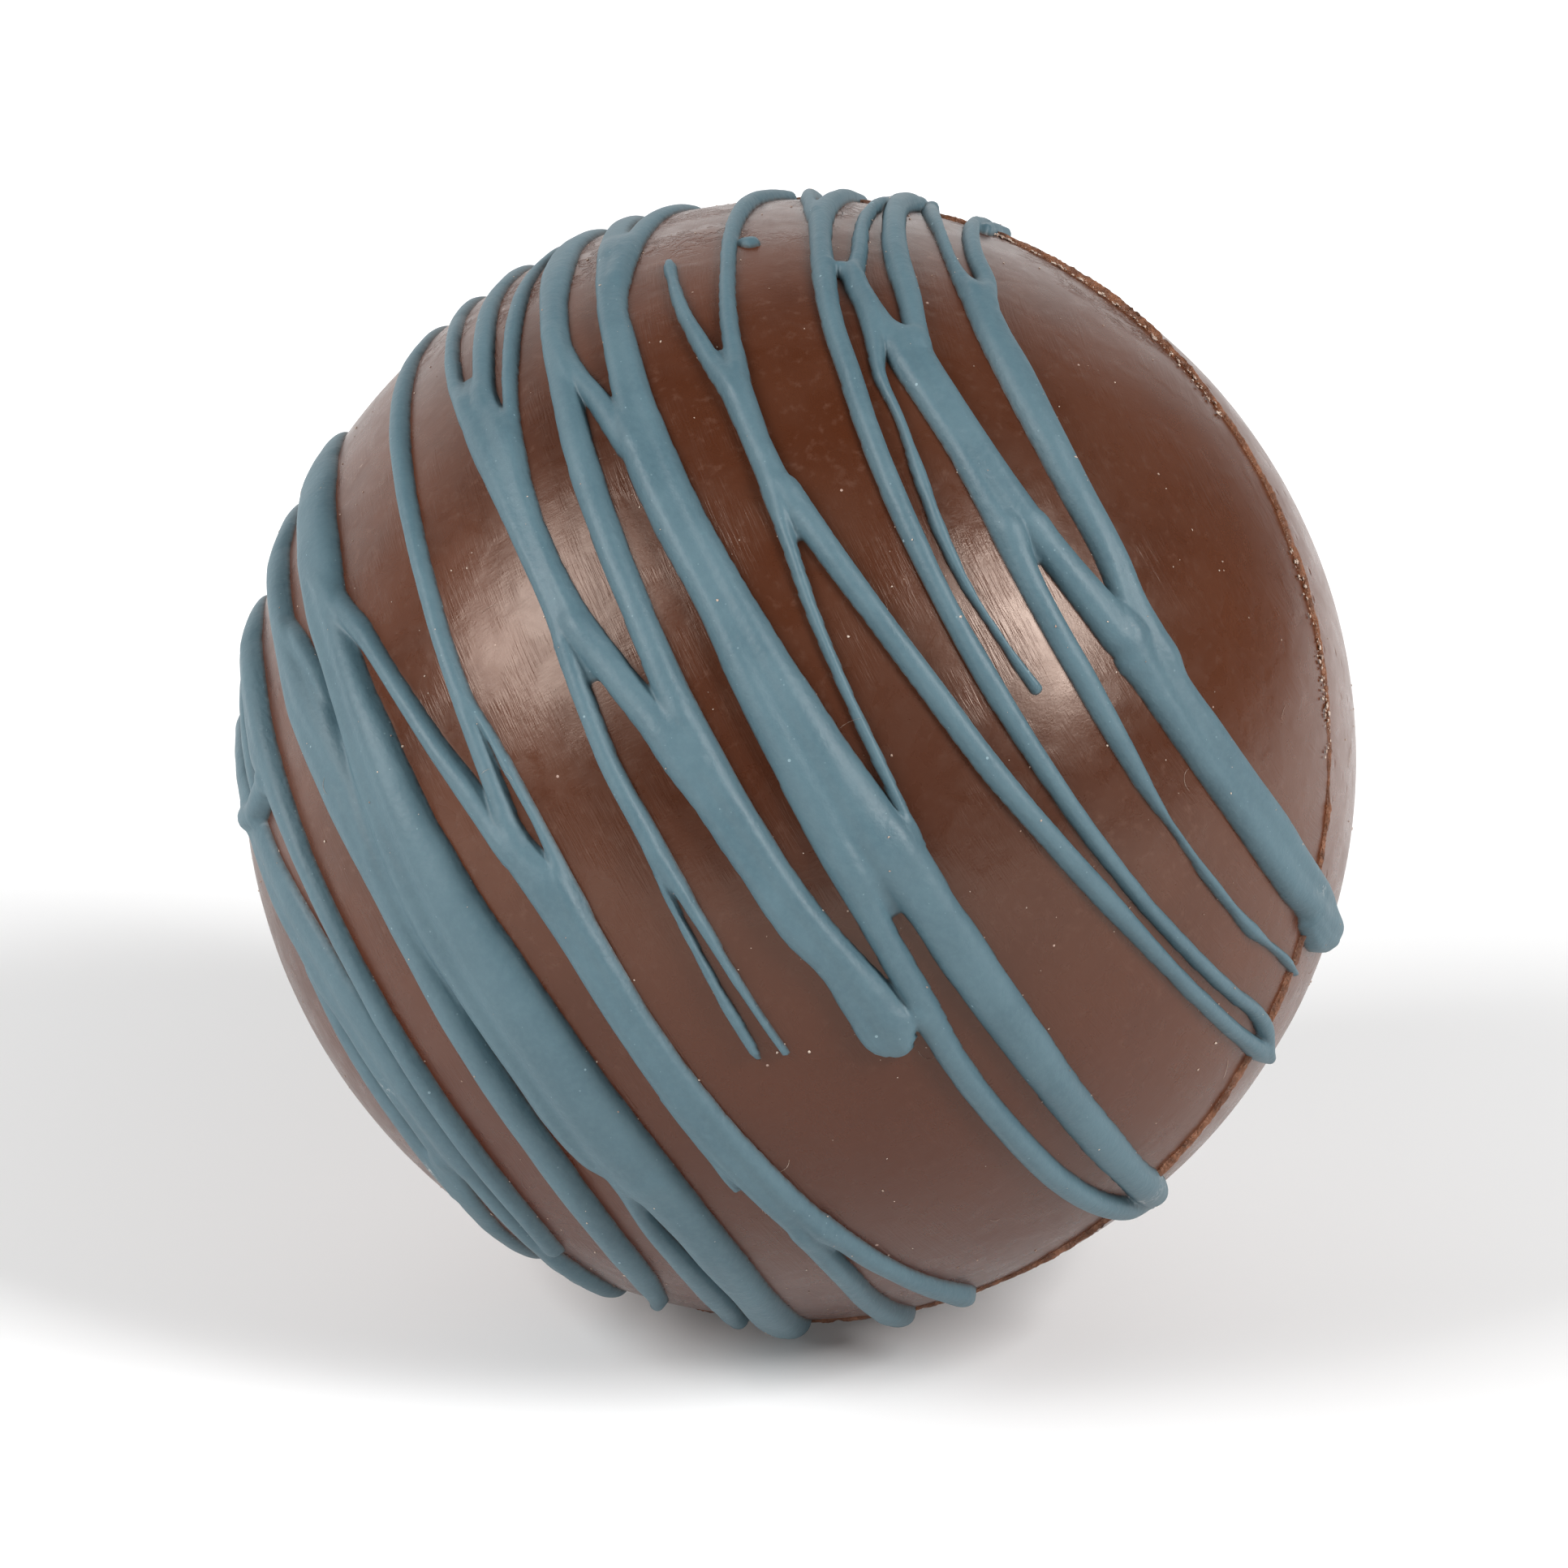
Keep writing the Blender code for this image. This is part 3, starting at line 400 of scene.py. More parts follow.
        (-46, 48.2, 50.3), (-40, 47.6, 49.8),
    ),
    "eleventh_strand_limb_drip": (
        (-90, 49.0, 50.7), (-81, 48.6, 50.4), (-73, 48.7, 50.0),
    ),
    "eleventh_strand": (
        (-47, 45.8, 50.2), (-40, 46.1, 49.7), (-33, 46.3, 50.1), (-25, 46.8, 50.9),
        (-15, 47.3, 51.3), (-5, 47.7, 51.5), (8, 47.8, 51.5), (15, 46.4, 50.9),
        (20, 44.0, 51.0), (24, 44.4, 51.1), (28, 44.6, 50.4), (36, 44.9, 50.7),
        (48, 45.0, 50.8), (58, 44.8, 50.7), (67, 44.3, 50.0), (76, 43.9, 49.3),
        (83, 43.0, 48.4), (89, 42.5, 47.2), (95, 43.1, 45.7), (98.5, 43.8, 44.7),
    ),
    "eleventh_strand_snapped_side": (
        (79, 42.8, 45.4), (84, 41.8, 44.8), (89, 41.9, 44.6),
    ),
}

# Short webs that cross the strokes: wrap angle and cross angle of the middle
# line in degrees, with the width in metres
WEBS = {
    "left_limb_web": ((-28.5, -54.2, 0.0015), (-25.0, -50.6, 0.0018), (-24.2, -45.6, 0.0018)),
    "lobe_to_sixth_web": ((37.0, 6.2, 0.0017), (38.6, 8.6, 0.0016)),
    "tenth_to_eleventh_arch": ((-89.0, 40.6, 0.0012), (-85.5, 42.3, 0.0010)),
    "eighth_to_ninth_web": ((-45.8, 33.7, 0.0009), (-45.3, 35.0, 0.0010), (-42.4, 35.9, 0.0011)),
}

# Grooves along wide strands, where two strands ran together: wrap and lane in degrees
GROOVES = {
    "wide_stripe": ((-34, -27.2), (-20, -27.4), (-4, -28.2), (12, -28.2), (28, -27.4), (46, -27.0)),
    "fourth_strand_merged": ((14, -14.8), (28, -14.4), (42, -13.8), (60, -13.0)),
    "fan_merged": ((-46, -3.3), (-36, -2.6), (-24, -2.0), (-14, -1.9), (-6, -2.2)),
    "fifth_strand_merged": ((-2, 3.0), (8, 3.3), (18, 3.9), (28, 4.8)),
    "sixth_strand": (
        (-52, 12.8), (-38, 12.2), (-22, 12.0), (-6, 12.6), (8, 12.8), (20, 12.7), (29, 12.4),
    ),
    "tenth_strand_merged": ((-34, 38.2), (-22, 39.3), (-12, 40.5), (-2, 41.4), (4, 42.0)),
    "eleventh_strand": ((8, 49.6), (20, 47.8), (36, 47.4), (56, 47.5), (80, 46.8)),
    "left_band": ((-25, -53.6), (-8, -52.0), (8, -50.2), (24, -49.0), (44, -48.4)),
}

# Pale chips and scuffs: wrap and lane in degrees, then the radius in millimetres
DRIZZLE_SCUFFS = (
    (-58.0, -52.4, 0.75), (75.0, 47.0, 0.85), (84.5, 13.0, 1.1), (86.5, 15.2, 0.7),
    (24.5, -50.0, 0.55), (43.0, -54.0, 0.8), (-29.0, -26.2, 0.35), (17.5, 46.8, 0.9),
)
CHOCOLATE_SCUFFS = (
    (79.0, -20.6, 1.0), (-49.0, -19.5, 1.3), (-70.0, -12.0, 1.0), (-86.0, 42.5, 1.2),
)

# One loose droplet beside the seventh strand
DROPLET = (-53.6, 26.4, 0.00052)


def view_directions():
    """Right, up and towards-the-viewer directions at the shown elevation."""
    lift = math.radians(VIEW_ELEVATION)
    right = Vector((1.0, 0.0, 0.0))
    up = Vector((0.0, math.sin(lift), math.cos(lift)))
    viewer = Vector((0.0, -math.cos(lift), math.sin(lift)))
    return right, up, viewer


def dome_axis():
    """Axis of the decorated half, turned left of the view and slightly raised."""
    right, up, viewer = view_directions()
    turn = math.radians(AXIS_TURN_LEFT)
    rise = math.radians(AXIS_RAISE)
    level = viewer * math.cos(turn) - right * math.sin(turn)
    return (level * math.cos(rise) + up * math.sin(rise)).normalized()


def stroke_frame():
    """Stroke axis, the dome axis squared to it, and the direction a quarter turn on."""
    right, up, viewer = view_directions()
    forward = math.radians(STROKE_AXIS_FORWARD)
    climb = math.radians(STROKE_AXIS_RIGHT)
    flat = right * math.cos(climb) + up * math.sin(climb)
    axis = flat * math.cos(forward) + viewer * math.sin(forward)
    front = dome_axis()
    front = (front - axis * front.dot(axis)).normalized()
    return axis, front, axis.cross(front)


def bare_radius(directions):
    """Radius of the bare ball: each half is a little lower than its rim is wide."""
    along = directions @ DOME_AXIS
    return POLE_HEIGHT + (RIM_RADIUS - POLE_HEIGHT) * (1.0 - along * along)


def ball_centre():
    """Centre of the ball above the middle of its flat spot."""
    reach = float(bare_radius(np.array((0.0, 0.0, -1.0))))
    return Vector((0.0, 0.0, math.sqrt(reach * reach - FOOT_RADIUS * FOOT_RADIUS)))


DOME_AXIS = np.array(dome_axis())
CENTRE = np.array(ball_centre())
RIGHT, UP, VIEWER = (np.array(part) for part in view_directions())
STROKE_AXIS, STROKE_FRONT, STROKE_ONWARD = (np.array(part) for part in stroke_frame())
# Middles of the painted grey reflection and of the painted shade, both about where the ball faces
# the view, and the way down the view along which painted shade makes the chocolate darker and redder
PAINTED_REFLECTION_DIRECTION = 0.131 * RIGHT + 0.153 * UP + 0.979 * VIEWER
SHADE_DIRECTION = 0.10 * RIGHT - 0.27 * UP + 0.96 * VIEWER
PAINTED_LOW_SHADE_DIRECTION = -UP


def stroke_directions(wrap, lane):
    """Directions from the ball's centre for arrays of wrap and lane angles.

    The angles are those on a round ball of READING_RADIUS, so each spot is moved to the
    same place, as seen from the front, on the real and lower ball. Close to the outline
    the move is evened out, so that the strands run on smoothly behind it.
    """
    around = np.radians(wrap + WRAP_START)[..., None]
    across = np.radians(lane)[..., None]
    ring = STROKE_FRONT * np.cos(around) + STROKE_ONWARD * np.sin(around)
    directions = STROKE_AXIS * np.sin(across) + ring * np.cos(across)
    depth = directions @ VIEWER
    lower = 1.0 - (bare_radius(directions) / READING_RADIUS) ** 2
    steady = np.maximum(np.abs(depth), LIMB_DEPTH)
    moved = depth * steady / np.sqrt(steady * steady + lower)
    directions = directions + VIEWER * (moved - depth)[..., None]
    return directions / np.linalg.norm(directions, axis=-1, keepdims=True)


def soft_noise(first, second, cell_first, cell_second, seed):
    """Smooth seeded noise from -1 to 1 over two coordinates."""
    table = np.random.default_rng(seed).uniform(-1.0, 1.0, (97, 89))
    u = first / cell_first
    v = second / cell_second
    i = np.floor(u).astype(int)
    j = np.floor(v).astype(int)
    fu = u - i
    fv = v - j
    fu = fu * fu * (3.0 - 2.0 * fu)
    fv = fv * fv * (3.0 - 2.0 * fv)
    near = table[i % 97, j % 89] * (1.0 - fv) + table[i % 97, (j + 1) % 89] * fv
    far = table[(i + 1) % 97, j % 89] * (1.0 - fv) + table[(i + 1) % 97, (j + 1) % 89] * fv
    return near * (1.0 - fu) + far * fu


def ring_noise(turn, count, seed):
    """Smooth seeded noise from -1 to 1 that closes on itself round a full turn."""
    values = np.random.default_rng(seed).uniform(-1.0, 1.0, count)
    place = turn / math.tau * count
    index = np.floor(place).astype(int)
    share = place - index
    share = share * share * (3.0 - 2.0 * share)
    return values[index % count] * (1.0 - share) + values[(index + 1) % count] * share


def smoothstep(low, high, values):
    """Smooth 0 to 1 ramp between two values."""
    share = np.clip((values - low) / (high - low), 0.0, 1.0)
    return share * share * (3.0 - 2.0 * share)


def smooth_value(points, place):
    """Values at a place along a smooth curve through rows of place and values."""
    index = 0
    while index < len(points) - 2 and place > points[index + 1][0]:
        index += 1
    before = points[max(index - 1, 0)]
    start = points[index]
    end = points[index + 1]
    after = points[min(index + 2, len(points) - 1)]
    span = end[0] - start[0]
    share = min(max((place - start[0]) / span, 0.0), 1.0)
    values = []
    for column in range(1, len(start)):
        slope_in = span * (end[column] - before[column]) / (end[0] - before[0])
        slope_out = span * (after[column] - start[column]) / (after[0] - start[0])
        square = share * share
        cube = square * share
        values.append(
            (2.0 * cube - 3.0 * square + 1.0) * start[column]
            + (cube - 2.0 * square + share) * slope_in
            + (3.0 * square - 2.0 * cube) * end[column]
            + (cube - square) * slope_out
        )
    return values


def make_mesh_object(name, vertices, faces, material):
    """Mesh object from an array of vertices and a list of faces, shaded smooth."""
    mesh = bpy.data.meshes.new(name)
    mesh.from_pydata(vertices.tolist(), [], faces)
    mesh.validate()
    mesh.shade_smooth()
    mesh.materials.append(material)
    item = bpy.data.objects.new(name, mesh)
    bpy.context.scene.collection.objects.link(item)
    return item


def closed_grid_faces(rings, segments):
    """Quads of a grid whose columns close round a full turn."""
    row = np.arange(rings - 1)[:, None] * segments
    column = np.arange(segments)[None, :]
    onward = (column + 1) % segments
    quads = np.stack(
        (row + column, row + onward, row + segments + onward, row + segments + column), axis=-1
    )
    return quads.reshape(-1, 4)


def dome_directions(angle, turn):
    """Directions from the ball's centre for an angle from the dome axis and a turn round it."""
    side = STROKE_AXIS - DOME_AXIS * (STROKE_AXIS @ DOME_AXIS)
    side = side / np.linalg.norm(side)
    other = np.cross(DOME_AXIS, side)
    ring = side * np.cos(turn)[..., None] + other * np.sin(turn)[..., None]
    return DOME_AXIS * np.cos(angle)[..., None] + ring * np.sin(angle)[..., None]


def ball_relief(directions):
    """Low waves of the cast chocolate, as a height for each direction."""
    across = np.degrees(np.arcsin(np.clip(directions @ STROKE_AXIS, -1.0, 1.0)))
    around = np.degrees(np.arctan2(directions @ STROKE_ONWARD, directions @ STROKE_FRONT))
    fade = np.cos(np.radians(across))
    waves = soft_noise(across + 90.0, around + 180.0, 13.0, 17.0, 11)
    waves = waves + 0.4 * soft_noise(across + 90.0, around + 180.0, 5.0, 6.0, 12)
    return BALL_WAVE * waves * fade


def skin_radius(directions):
    """Radius of the chocolate with its waves along many directions."""
    return bare_radius(directions) + ball_relief(directions)


def flatten_foot(points):
    """Points under the flat spot's height are moved up to it."""
    points[..., 2] = np.maximum(points[..., 2], 0.0)
    return points


def make_ball(material):
    """The chocolate ball, closed, with a pole at each end of the dome axis."""
    angles = np.linspace(0.0, math.pi, BALL_RINGS)
    turns = np.arange(BALL_SEGMENTS) * math.tau / BALL_SEGMENTS
    angle, turn = np.meshgrid(angles[1:-1], turns, indexing="ij")
    directions = dome_directions(angle, turn)
    body = (CENTRE + directions * skin_radius(directions)[..., None]).reshape(-1, 3)
    poles = np.stack((CENTRE + DOME_AXIS * POLE_HEIGHT, CENTRE - DOME_AXIS * POLE_HEIGHT))
    vertices = flatten_foot(np.concatenate((body, poles)))
    faces = closed_grid_faces(BALL_RINGS - 2, BALL_SEGMENTS).tolist()
    top = len(body)
    last = (BALL_RINGS - 3) * BALL_SEGMENTS
    for index in range(BALL_SEGMENTS):
        onward = (index + 1) % BALL_SEGMENTS
        faces.append((top, onward, index))
        faces.append((top + 1, last + index, last + onward))
    return make_mesh_object("chocolate_ball", vertices, faces, material)


def weld_height(turn, offset):
    """Height of the weld over the bare ball, at an offset in degrees from the rim."""
    wander = 0.35 * ring_noise(turn, 37, 21) + 0.12 * ring_noise(turn, 170, 22)
    broad = 0.34 + 0.20 * ring_noise(turn, 53, 23) + 0.16 * ring_noise(turn, 260, 24)
    strength = 0.72 + 0.22 * ring_noise(turn, 29, 25) + 0.10 * ring_noise(turn, 310, 26)
    place = (offset - wander) / np.maximum(broad, 0.10)
    proud = WELD_PROUD * strength + weld_swell(turn)
    ridge = proud * (1.0 - np.abs(place) ** 2.2)
    return np.maximum(ridge, -DRIZZLE_SUNK)


def seen_angle(directions):
    """Angle in degrees, from the right, at which directions are seen round the ball's middle."""
    return np.degrees(np.arctan2(directions @ UP, directions @ RIGHT))


def weld_swell(turn):
    """Extra height of the weld where it was pressed out more or less."""
    seen = seen_angle(dome_directions(np.full(turn.shape, math.radians(90.0)), turn))
    extra = np.zeros(turn.shape)
    for angle, spread, height in WELD_SWELLS:
        extra = extra + height * np.exp(-(((seen - angle) / spread) ** 2))
    return extra


def make_weld(material):
    """Proud, uneven weld of chocolate that was pressed out between the halves."""
    offsets = np.linspace(-WELD_HALF_ANGLE, WELD_HALF_ANGLE, WELD_RINGS)
    turns = np.arange(WELD_SEGMENTS) * math.tau / WELD_SEGMENTS
    offset, turn = np.meshgrid(offsets, turns, indexing="ij")
    directions = dome_directions(np.radians(90.0 + offset), turn)
    height = weld_height(turn, offset)
    grain = soft_noise(turn * 1800.0, offset * 40.0, 6.0, 6.0, 27)
    height = height + WELD_GRAIN * grain * smoothstep(0.0, 0.0001, height)
    reach = bare_radius(directions) + height
    vertices = flatten_foot((CENTRE + directions * reach[..., None]).reshape(-1, 3))
    faces = closed_grid_faces(WELD_RINGS, WELD_SEGMENTS)
    kept = (height.reshape(-1)[faces] > -0.9 * DRIZZLE_SUNK).any(axis=1)
    return make_mesh_object("weld", *used_only(vertices, faces[kept]), material)


def used_only(vertices, faces):
    """Vertices that the faces use, with a list of the faces numbered to match."""
    used = np.unique(faces)
    numbers = np.full(len(vertices), -1)
    numbers[used] = np.arange(len(used))
    return vertices[used], numbers[faces].tolist()


def drizzle_height(width):
    """Height of a strand: a wide stripe is flatter than a narrow thread."""
    return DRIZZLE_THIN_HEIGHT + DRIZZLE_HEIGHT * (1.0 - np.exp(-width / DRIZZLE_WIDTH_SCALE))


def height_share(wrap, lane):
    """Share of a strand's height kept: less at the starts and at the left edge."""
    begins = smoothstep(*LOW_START_WRAPS, wrap) * smoothstep(*LOW_START_LANES, lane)
    low = np.maximum(begins, smoothstep(*LOW_EDGE_LANES, lane))
    return 1.0 - (1.0 - LOW_SHARE) * low


def strand_profile(share):
    """Height of a strand's section at a share of half its width, below 0 outside it."""
    inside = np.clip(1.0 - np.abs(share) ** PROFILE_FLATNESS, 0.0, 1.0) ** PROFILE_STEEPNESS
    return np.where(np.abs(share) < 1.0, inside, -PROFILE_DIVE * (np.abs(share) - 1.0))


def soft_maximum(first, second, blend):
    """Larger of two heights, rounded where they meet, and more so where both are thick."""
    blend = blend + MELT_SHARE * np.clip(np.minimum(first, second), 0.0, MELT_HEIGHT)
    near = np.maximum(blend - np.abs(first - second), 0.0) / blend
    return np.maximum(first, second) + near * near * blend * 0.25


def end_kind(name, row):
    """How an end meets the other strands: free, inside a wider one, or merged from narrower ones."""
    wrap, left, right = row
    width = right - left
    inside = False
    narrower = 0
    for other, rows in STRANDS.items():
        if other == name or not rows[0][0] <= wrap <= rows[-1][0]:
            continue
        other_left, other_right = smooth_value(rows, wrap)
        other_width = other_right - other_left
        shared = min(right, other_right) - max(left, other_left)
        if shared < 0.15 * min(width, other_width):
            continue
        if other_left < 0.5 * (left + right) < other_right:
            inside = True
        if other_width < 0.95 * width and shared < 0.85 * width:
            narrower += 1
    if narrower > 1:
        return "merged"
    return "inside" if inside else "free"


def run_on(end, inner):
    """Row past the end of a strand, straight on from its last two rows."""
    step = math.copysign(LINKED_OVERLAP, end[0] - inner[0])
    slopes = [(end[k] - inner[k]) / (end[0] - inner[0]) for k in (1, 2)]
    return (end[0] + step, end[1] + slopes[0] * step, end[2] + slopes[1] * step)


def strand_rows(name, points):
    """Rows of wrap and edges, run on where an end lies inside a wider strand."""
    kinds = (end_kind(name, points[0]), end_kind(name, points[-1]))
    before = (run_on(points[0], points[1]),) if kinds[0] == "inside" else ()
    after = (run_on(points[-1], points[-2]),) if kinds[1] == "inside" else ()
    return before + points + after, kinds


def fork_share(kinds, before, after):
    """Share of the height kept near a fork, from the distances in degrees to each end."""
    share = 1.0
    for kind, inwards in zip(kinds, (before, after)):
        if kind == "merged":
            rise = float(smoothstep(0.0, FORK_RAMP, inwards))
            share = min(share, FORK_FLOOR + (1.0 - FORK_FLOOR) * rise)
    return share


def groove_share(name, wrap, sideways, middle, half):
    """Share of a strand's height taken off by the groove along it."""
    if name in GROOVES:
        rows = GROOVES[name]
        lane = smooth_value(rows, min(max(wrap, rows[0][0]), rows[-1][0]))[0]
        fade = smoothstep(rows[0][0] - 8.0, rows[0][0] + 6.0, wrap)
        gap = (sideways - (lane - middle) * DEGREE_LENGTH) / GROOVE_WIDTH
        return GROOVE_DEPTH * fade * np.exp(-(gap ** 2))
    drift = soft_noise(np.array([wrap + 130.0]), np.array([middle + 90.0]), 15.0, 7.0, 61)[0]
    depth = FAINT_GROOVE * float(smoothstep(*FAINT_GROOVE_HALVES, half))
    return depth * np.exp(-(((sideways / half - 0.45 * drift) / FAINT_GROOVE_SPREAD) ** 2))


def strand_heights(name, points, wraps, lanes, seed):
    """Height of one strand over the grid, far below 0 where it doesn't reach."""
    points, kinds = strand_rows(name, points)
    heights = np.full((len(wraps), len(lanes)), -1.0)
    first = points[0][0]
    last = points[-1][0]
    for row in np.nonzero((wraps > first - 3.0) & (wraps < last + 3.0))[0]:
        wrap = min(max(wraps[row], first), last)
        left, right = smooth_value(points, wrap)
        ahead = smooth_value(points, min(wrap + 1.0, last))
        behind = smooth_value(points, max(wrap - 1.0, first))
        run = (min(wrap + 1.0, last) - max(wrap - 1.0, first)) * math.cos(math.radians(left))
        lean = math.cos(math.atan((ahead[0] + ahead[1] - behind[0] - behind[1]) * 0.5 / run))
        half = 0.5 * (right - left) * DEGREE_LENGTH * lean
        wide = smoothstep(*INSET_WIDTHS, 2.0 * half)
        half = max(half - NARROW_INSET - (EDGE_INSET - NARROW_INSET) * wide, LEAST_HALF_WIDTH)
        middle = 0.5 * (left + right)
        columns = np.nonzero(np.abs(lanes - middle) < 0.5 * (right - left) + 2.0)[0]
        stretch = math.cos(math.radians(middle)) * DEGREE_LENGTH
        before = wraps[row] - first
        after = last - wraps[row]
        past = 0.0
        for kind, inwards in zip(kinds, (before, after)):
            margin = 0.0 if kind == "merged" else half / stretch
            past = max(past, (margin - inwards) * stretch)
        sideways = (lanes[columns] - middle) * DEGREE_LENGTH * lean
        place = np.hypot(sideways / half, past / half)
        spots = (np.full(len(columns), wraps[row] + 120.0), lanes[columns] + 80.0)
        uneven = soft_noise(*spots, 4.2, 3.0, seed)
        ripple = soft_noise(*spots, 1.9, 1.4, seed + 1)
        knots = KNOT_SHARE * (1.0 - smoothstep(*KNOT_WIDTHS, 2.0 * half))
        place = place * (1.0 + 0.020 * uneven + (0.008 + knots) * ripple)
        crest = drizzle_height(2.0 * half) * (1.0 + 0.05 * uneven)
        crest = crest * (1.0 - groove_share(name, wrap, sideways, middle, half))
        crest = crest * fork_share(kinds, before, after) * height_share(wraps[row], lanes[columns])
        profile = strand_profile(place)
        body = np.where(profile > 0.0, profile * crest, profile * half)
        if (kinds[0] == "merged" and before < 0.0) or (kinds[1] == "merged" and after < 0.0):
            body = np.minimum(body, min(before, after) * stretch)
        heights[row, columns] = body
    return heights


def capsule_heights(stations, wraps, lanes):
    """Height of a web that crosses the strokes, from its middle line and width."""
    wrap, lane = np.meshgrid(wraps, lanes, indexing="ij")
    heights = np.full(wrap.shape, -1.0)
    for start, end in zip(stations, stations[1:]):
        shrink = math.cos(math.radians(0.5 * (start[1] + end[1])))
        run = np.array(((end[0] - start[0]) * shrink, end[1] - start[1])) * DEGREE_LENGTH
        point = np.stack(((wrap - start[0]) * shrink, lane - start[1]), axis=-1) * DEGREE_LENGTH
        share = np.clip(point @ run / (run @ run), 0.0, 1.0)
        gap = np.linalg.norm(point - share[..., None] * run, axis=-1)
        half = 0.5 * (start[2] + (end[2] - start[2]) * share)
        profile = strand_profile(gap / half)
        body = np.where(profile > 0.0, profile * drizzle_height(2.0 * half), profile * half)
        heights = np.maximum(heights, body)
    return heights


def drizzle_field(wraps, lanes):
    """Height of all the drizzle over the grid of wrap and lane angles."""
    field = np.full((len(wraps), len(lanes)), -1.0)
    for index, (name, points) in enumerate(STRANDS.items()):
        body = strand_heights(name, points, wraps, lanes, 100 + 2 * index)
        field = soft_maximum(field, body, DRIZZLE_FILLET)
    for points in WEBS.values():
        field = soft_maximum(field, capsule_heights(points, wraps, lanes), DRIZZLE_FILLET)
    wrap, lane, radius = DROPLET
    drop = ((wrap - 0.5, lane - 0.7, 1.5 * radius), (wrap, lane, 2.0 * radius))
    body = capsule_heights(drop, wraps, lanes)
    return soft_maximum(field, np.where(body > 0.0, 0.6 * body, body), DRIZZLE_FILLET)


def make_drizzle(material, wraps, lanes, field):
    """Thick drizzle as one skin, which dives into the chocolate at its edges."""
    wrap, lane = np.meshgrid(wraps, lanes, indexing="ij")
    directions = stroke_directions(wrap, lane)
    reach = skin_radius(directions) + field
    vertices = (CENTRE + directions * reach[..., None]).reshape(-1, 3)
    corner = np.arange(len(wraps) * len(lanes)).reshape(len(wraps), len(lanes))
    faces = np.stack(
        (corner[:-1, :-1], corner[:-1, 1:], corner[1:, 1:], corner[1:, :-1]), axis=-1
    ).reshape(-1, 4)
    kept = (field.reshape(-1)[faces] > -DRIZZLE_CUT).any(axis=1)
    points, quads = used_only(vertices, faces[kept])
    item = make_mesh_object("drizzle", points, quads, material)
    height = field.reshape(-1)[np.unique(faces[kept])]
    layer = item.data.attributes.new("height", "FLOAT", "POINT")
    layer.data.foreach_set("value", (height * 1000.0).astype(np.float32))
    return item


def grid_spot(wraps, lanes, wrap, lane):
    """Nearest row and column of the grid for some places."""
    row = np.clip(np.round((wrap - wraps[0]) / WRAP_STEP).astype(int), 0, len(wraps) - 1)
    column = np.clip(np.round((lane - lanes[0]) / LANE_STEP).astype(int), 0, len(lanes) - 1)
    return row, column


def top_radius(directions, grid, wrap, lane):
    """Radius of the surface, drizzle or chocolate, at some places."""
    wraps, lanes, field = grid
    return skin_radius(directions) + np.maximum(field[grid_spot(wraps, lanes, wrap, lane)], 0.0)


def scattered_places(draw, count, grid):
    """Random wrap and lane angles, about half of them close to the edges of the drizzle."""
    wraps, lanes, field = grid
    wrap = draw.uniform(-178.0, 178.0, count * 6)
    lane = np.degrees(np.arcsin(draw.uniform(-0.97, 0.97, count * 6)))
    inside = (wrap > wraps[0]) & (wrap < wraps[-1]) & (lane > lanes[0]) & (lane < lanes[-1])
    edge = inside & (np.abs(field[grid_spot(wraps, lanes, wrap, lane)]) < 0.9 * DRIZZLE_SUNK)
    chosen = np.nonzero(edge | (draw.random(count * 6) < 0.12))[0][:count]
    return wrap[chosen], lane[chosen]


def tangents(normal):
    """Two directions square to a normal and to each other."""
    side = np.cross(normal, (0.3, 0.2, 1.6))
    side = side / np.linalg.norm(side)
    return side, np.cross(normal, side)


def make_crumbs(material, grid):
    """Tiny irregular crumbs of dried chocolate and sugar on the surface."""
    draw = np.random.default_rng(11)
    wrap, lane = scattered_places(draw, CRUMB_COUNT, grid)
    out = stroke_directions(wrap, lane)
    reach = top_radius(out, grid, wrap, lane)
    flakes = weld_places(draw, FLAKE_COUNT)
    out = np.concatenate((out, flakes))
    reach = np.concatenate((reach, bare_radius(flakes) + 0.00006))
    large = np.arange(len(out)) >= len(wrap)
    lump = bmesh.new()
    bmesh.ops.create_icosphere(lump, subdivisions=1, radius=1.0)
    corners = np.array([vertex.co[:] for vertex in lump.verts])
    triangles = np.array([[vertex.index for vertex in face.verts] for face in lump.faces])
    lump.free()
    vertices = []
    faces = []
    for normal, distance, flake in zip(out, reach, large):
        side, other = tangents(normal)
        size = draw.uniform(*(FLAKE_SIZE if flake else CRUMB_SIZE)) * draw.uniform(0.5, 1.0)
        shape = corners * draw.uniform(0.55, 1.15, (len(corners), 1))
        shape = shape * (draw.uniform(0.7, 1.7), 1.0, 0.55)
        turn = draw.uniform(0.0, math.tau)
        across = side * math.cos(turn) + other * math.sin(turn)
        along = np.cross(normal, across)
        spot = CENTRE + normal * (distance + 0.25 * size)
        if spot[2] < CRUMB_CLEAR:
            continue
        local = shape[:, :1] * across + shape[:, 1:2] * along + shape[:, 2:] * normal
        faces.append(triangles + len(vertices) * len(corners))
        vertices.append(spot + size * local)
    faces = np.concatenate(faces).tolist()
    return make_mesh_object("crumbs", np.concatenate(vertices), faces, material)


def weld_places(draw, count):
    """Random places along the weld's decorated side, where it flakes at the right."""
    turn = draw.uniform(0.0, math.tau, count * 8)
    angle = np.radians(90.0 - draw.uniform(0.1, 1.5, count * 8) ** 1.4)
    out = dome_directions(angle, turn)
    seen = seen_angle(out)
    flaky = np.any([(seen > low) & (seen < high) for low, high in FLAKY_ARCS], axis=0)
    return out[np.nonzero(flaky)[0][:count]]


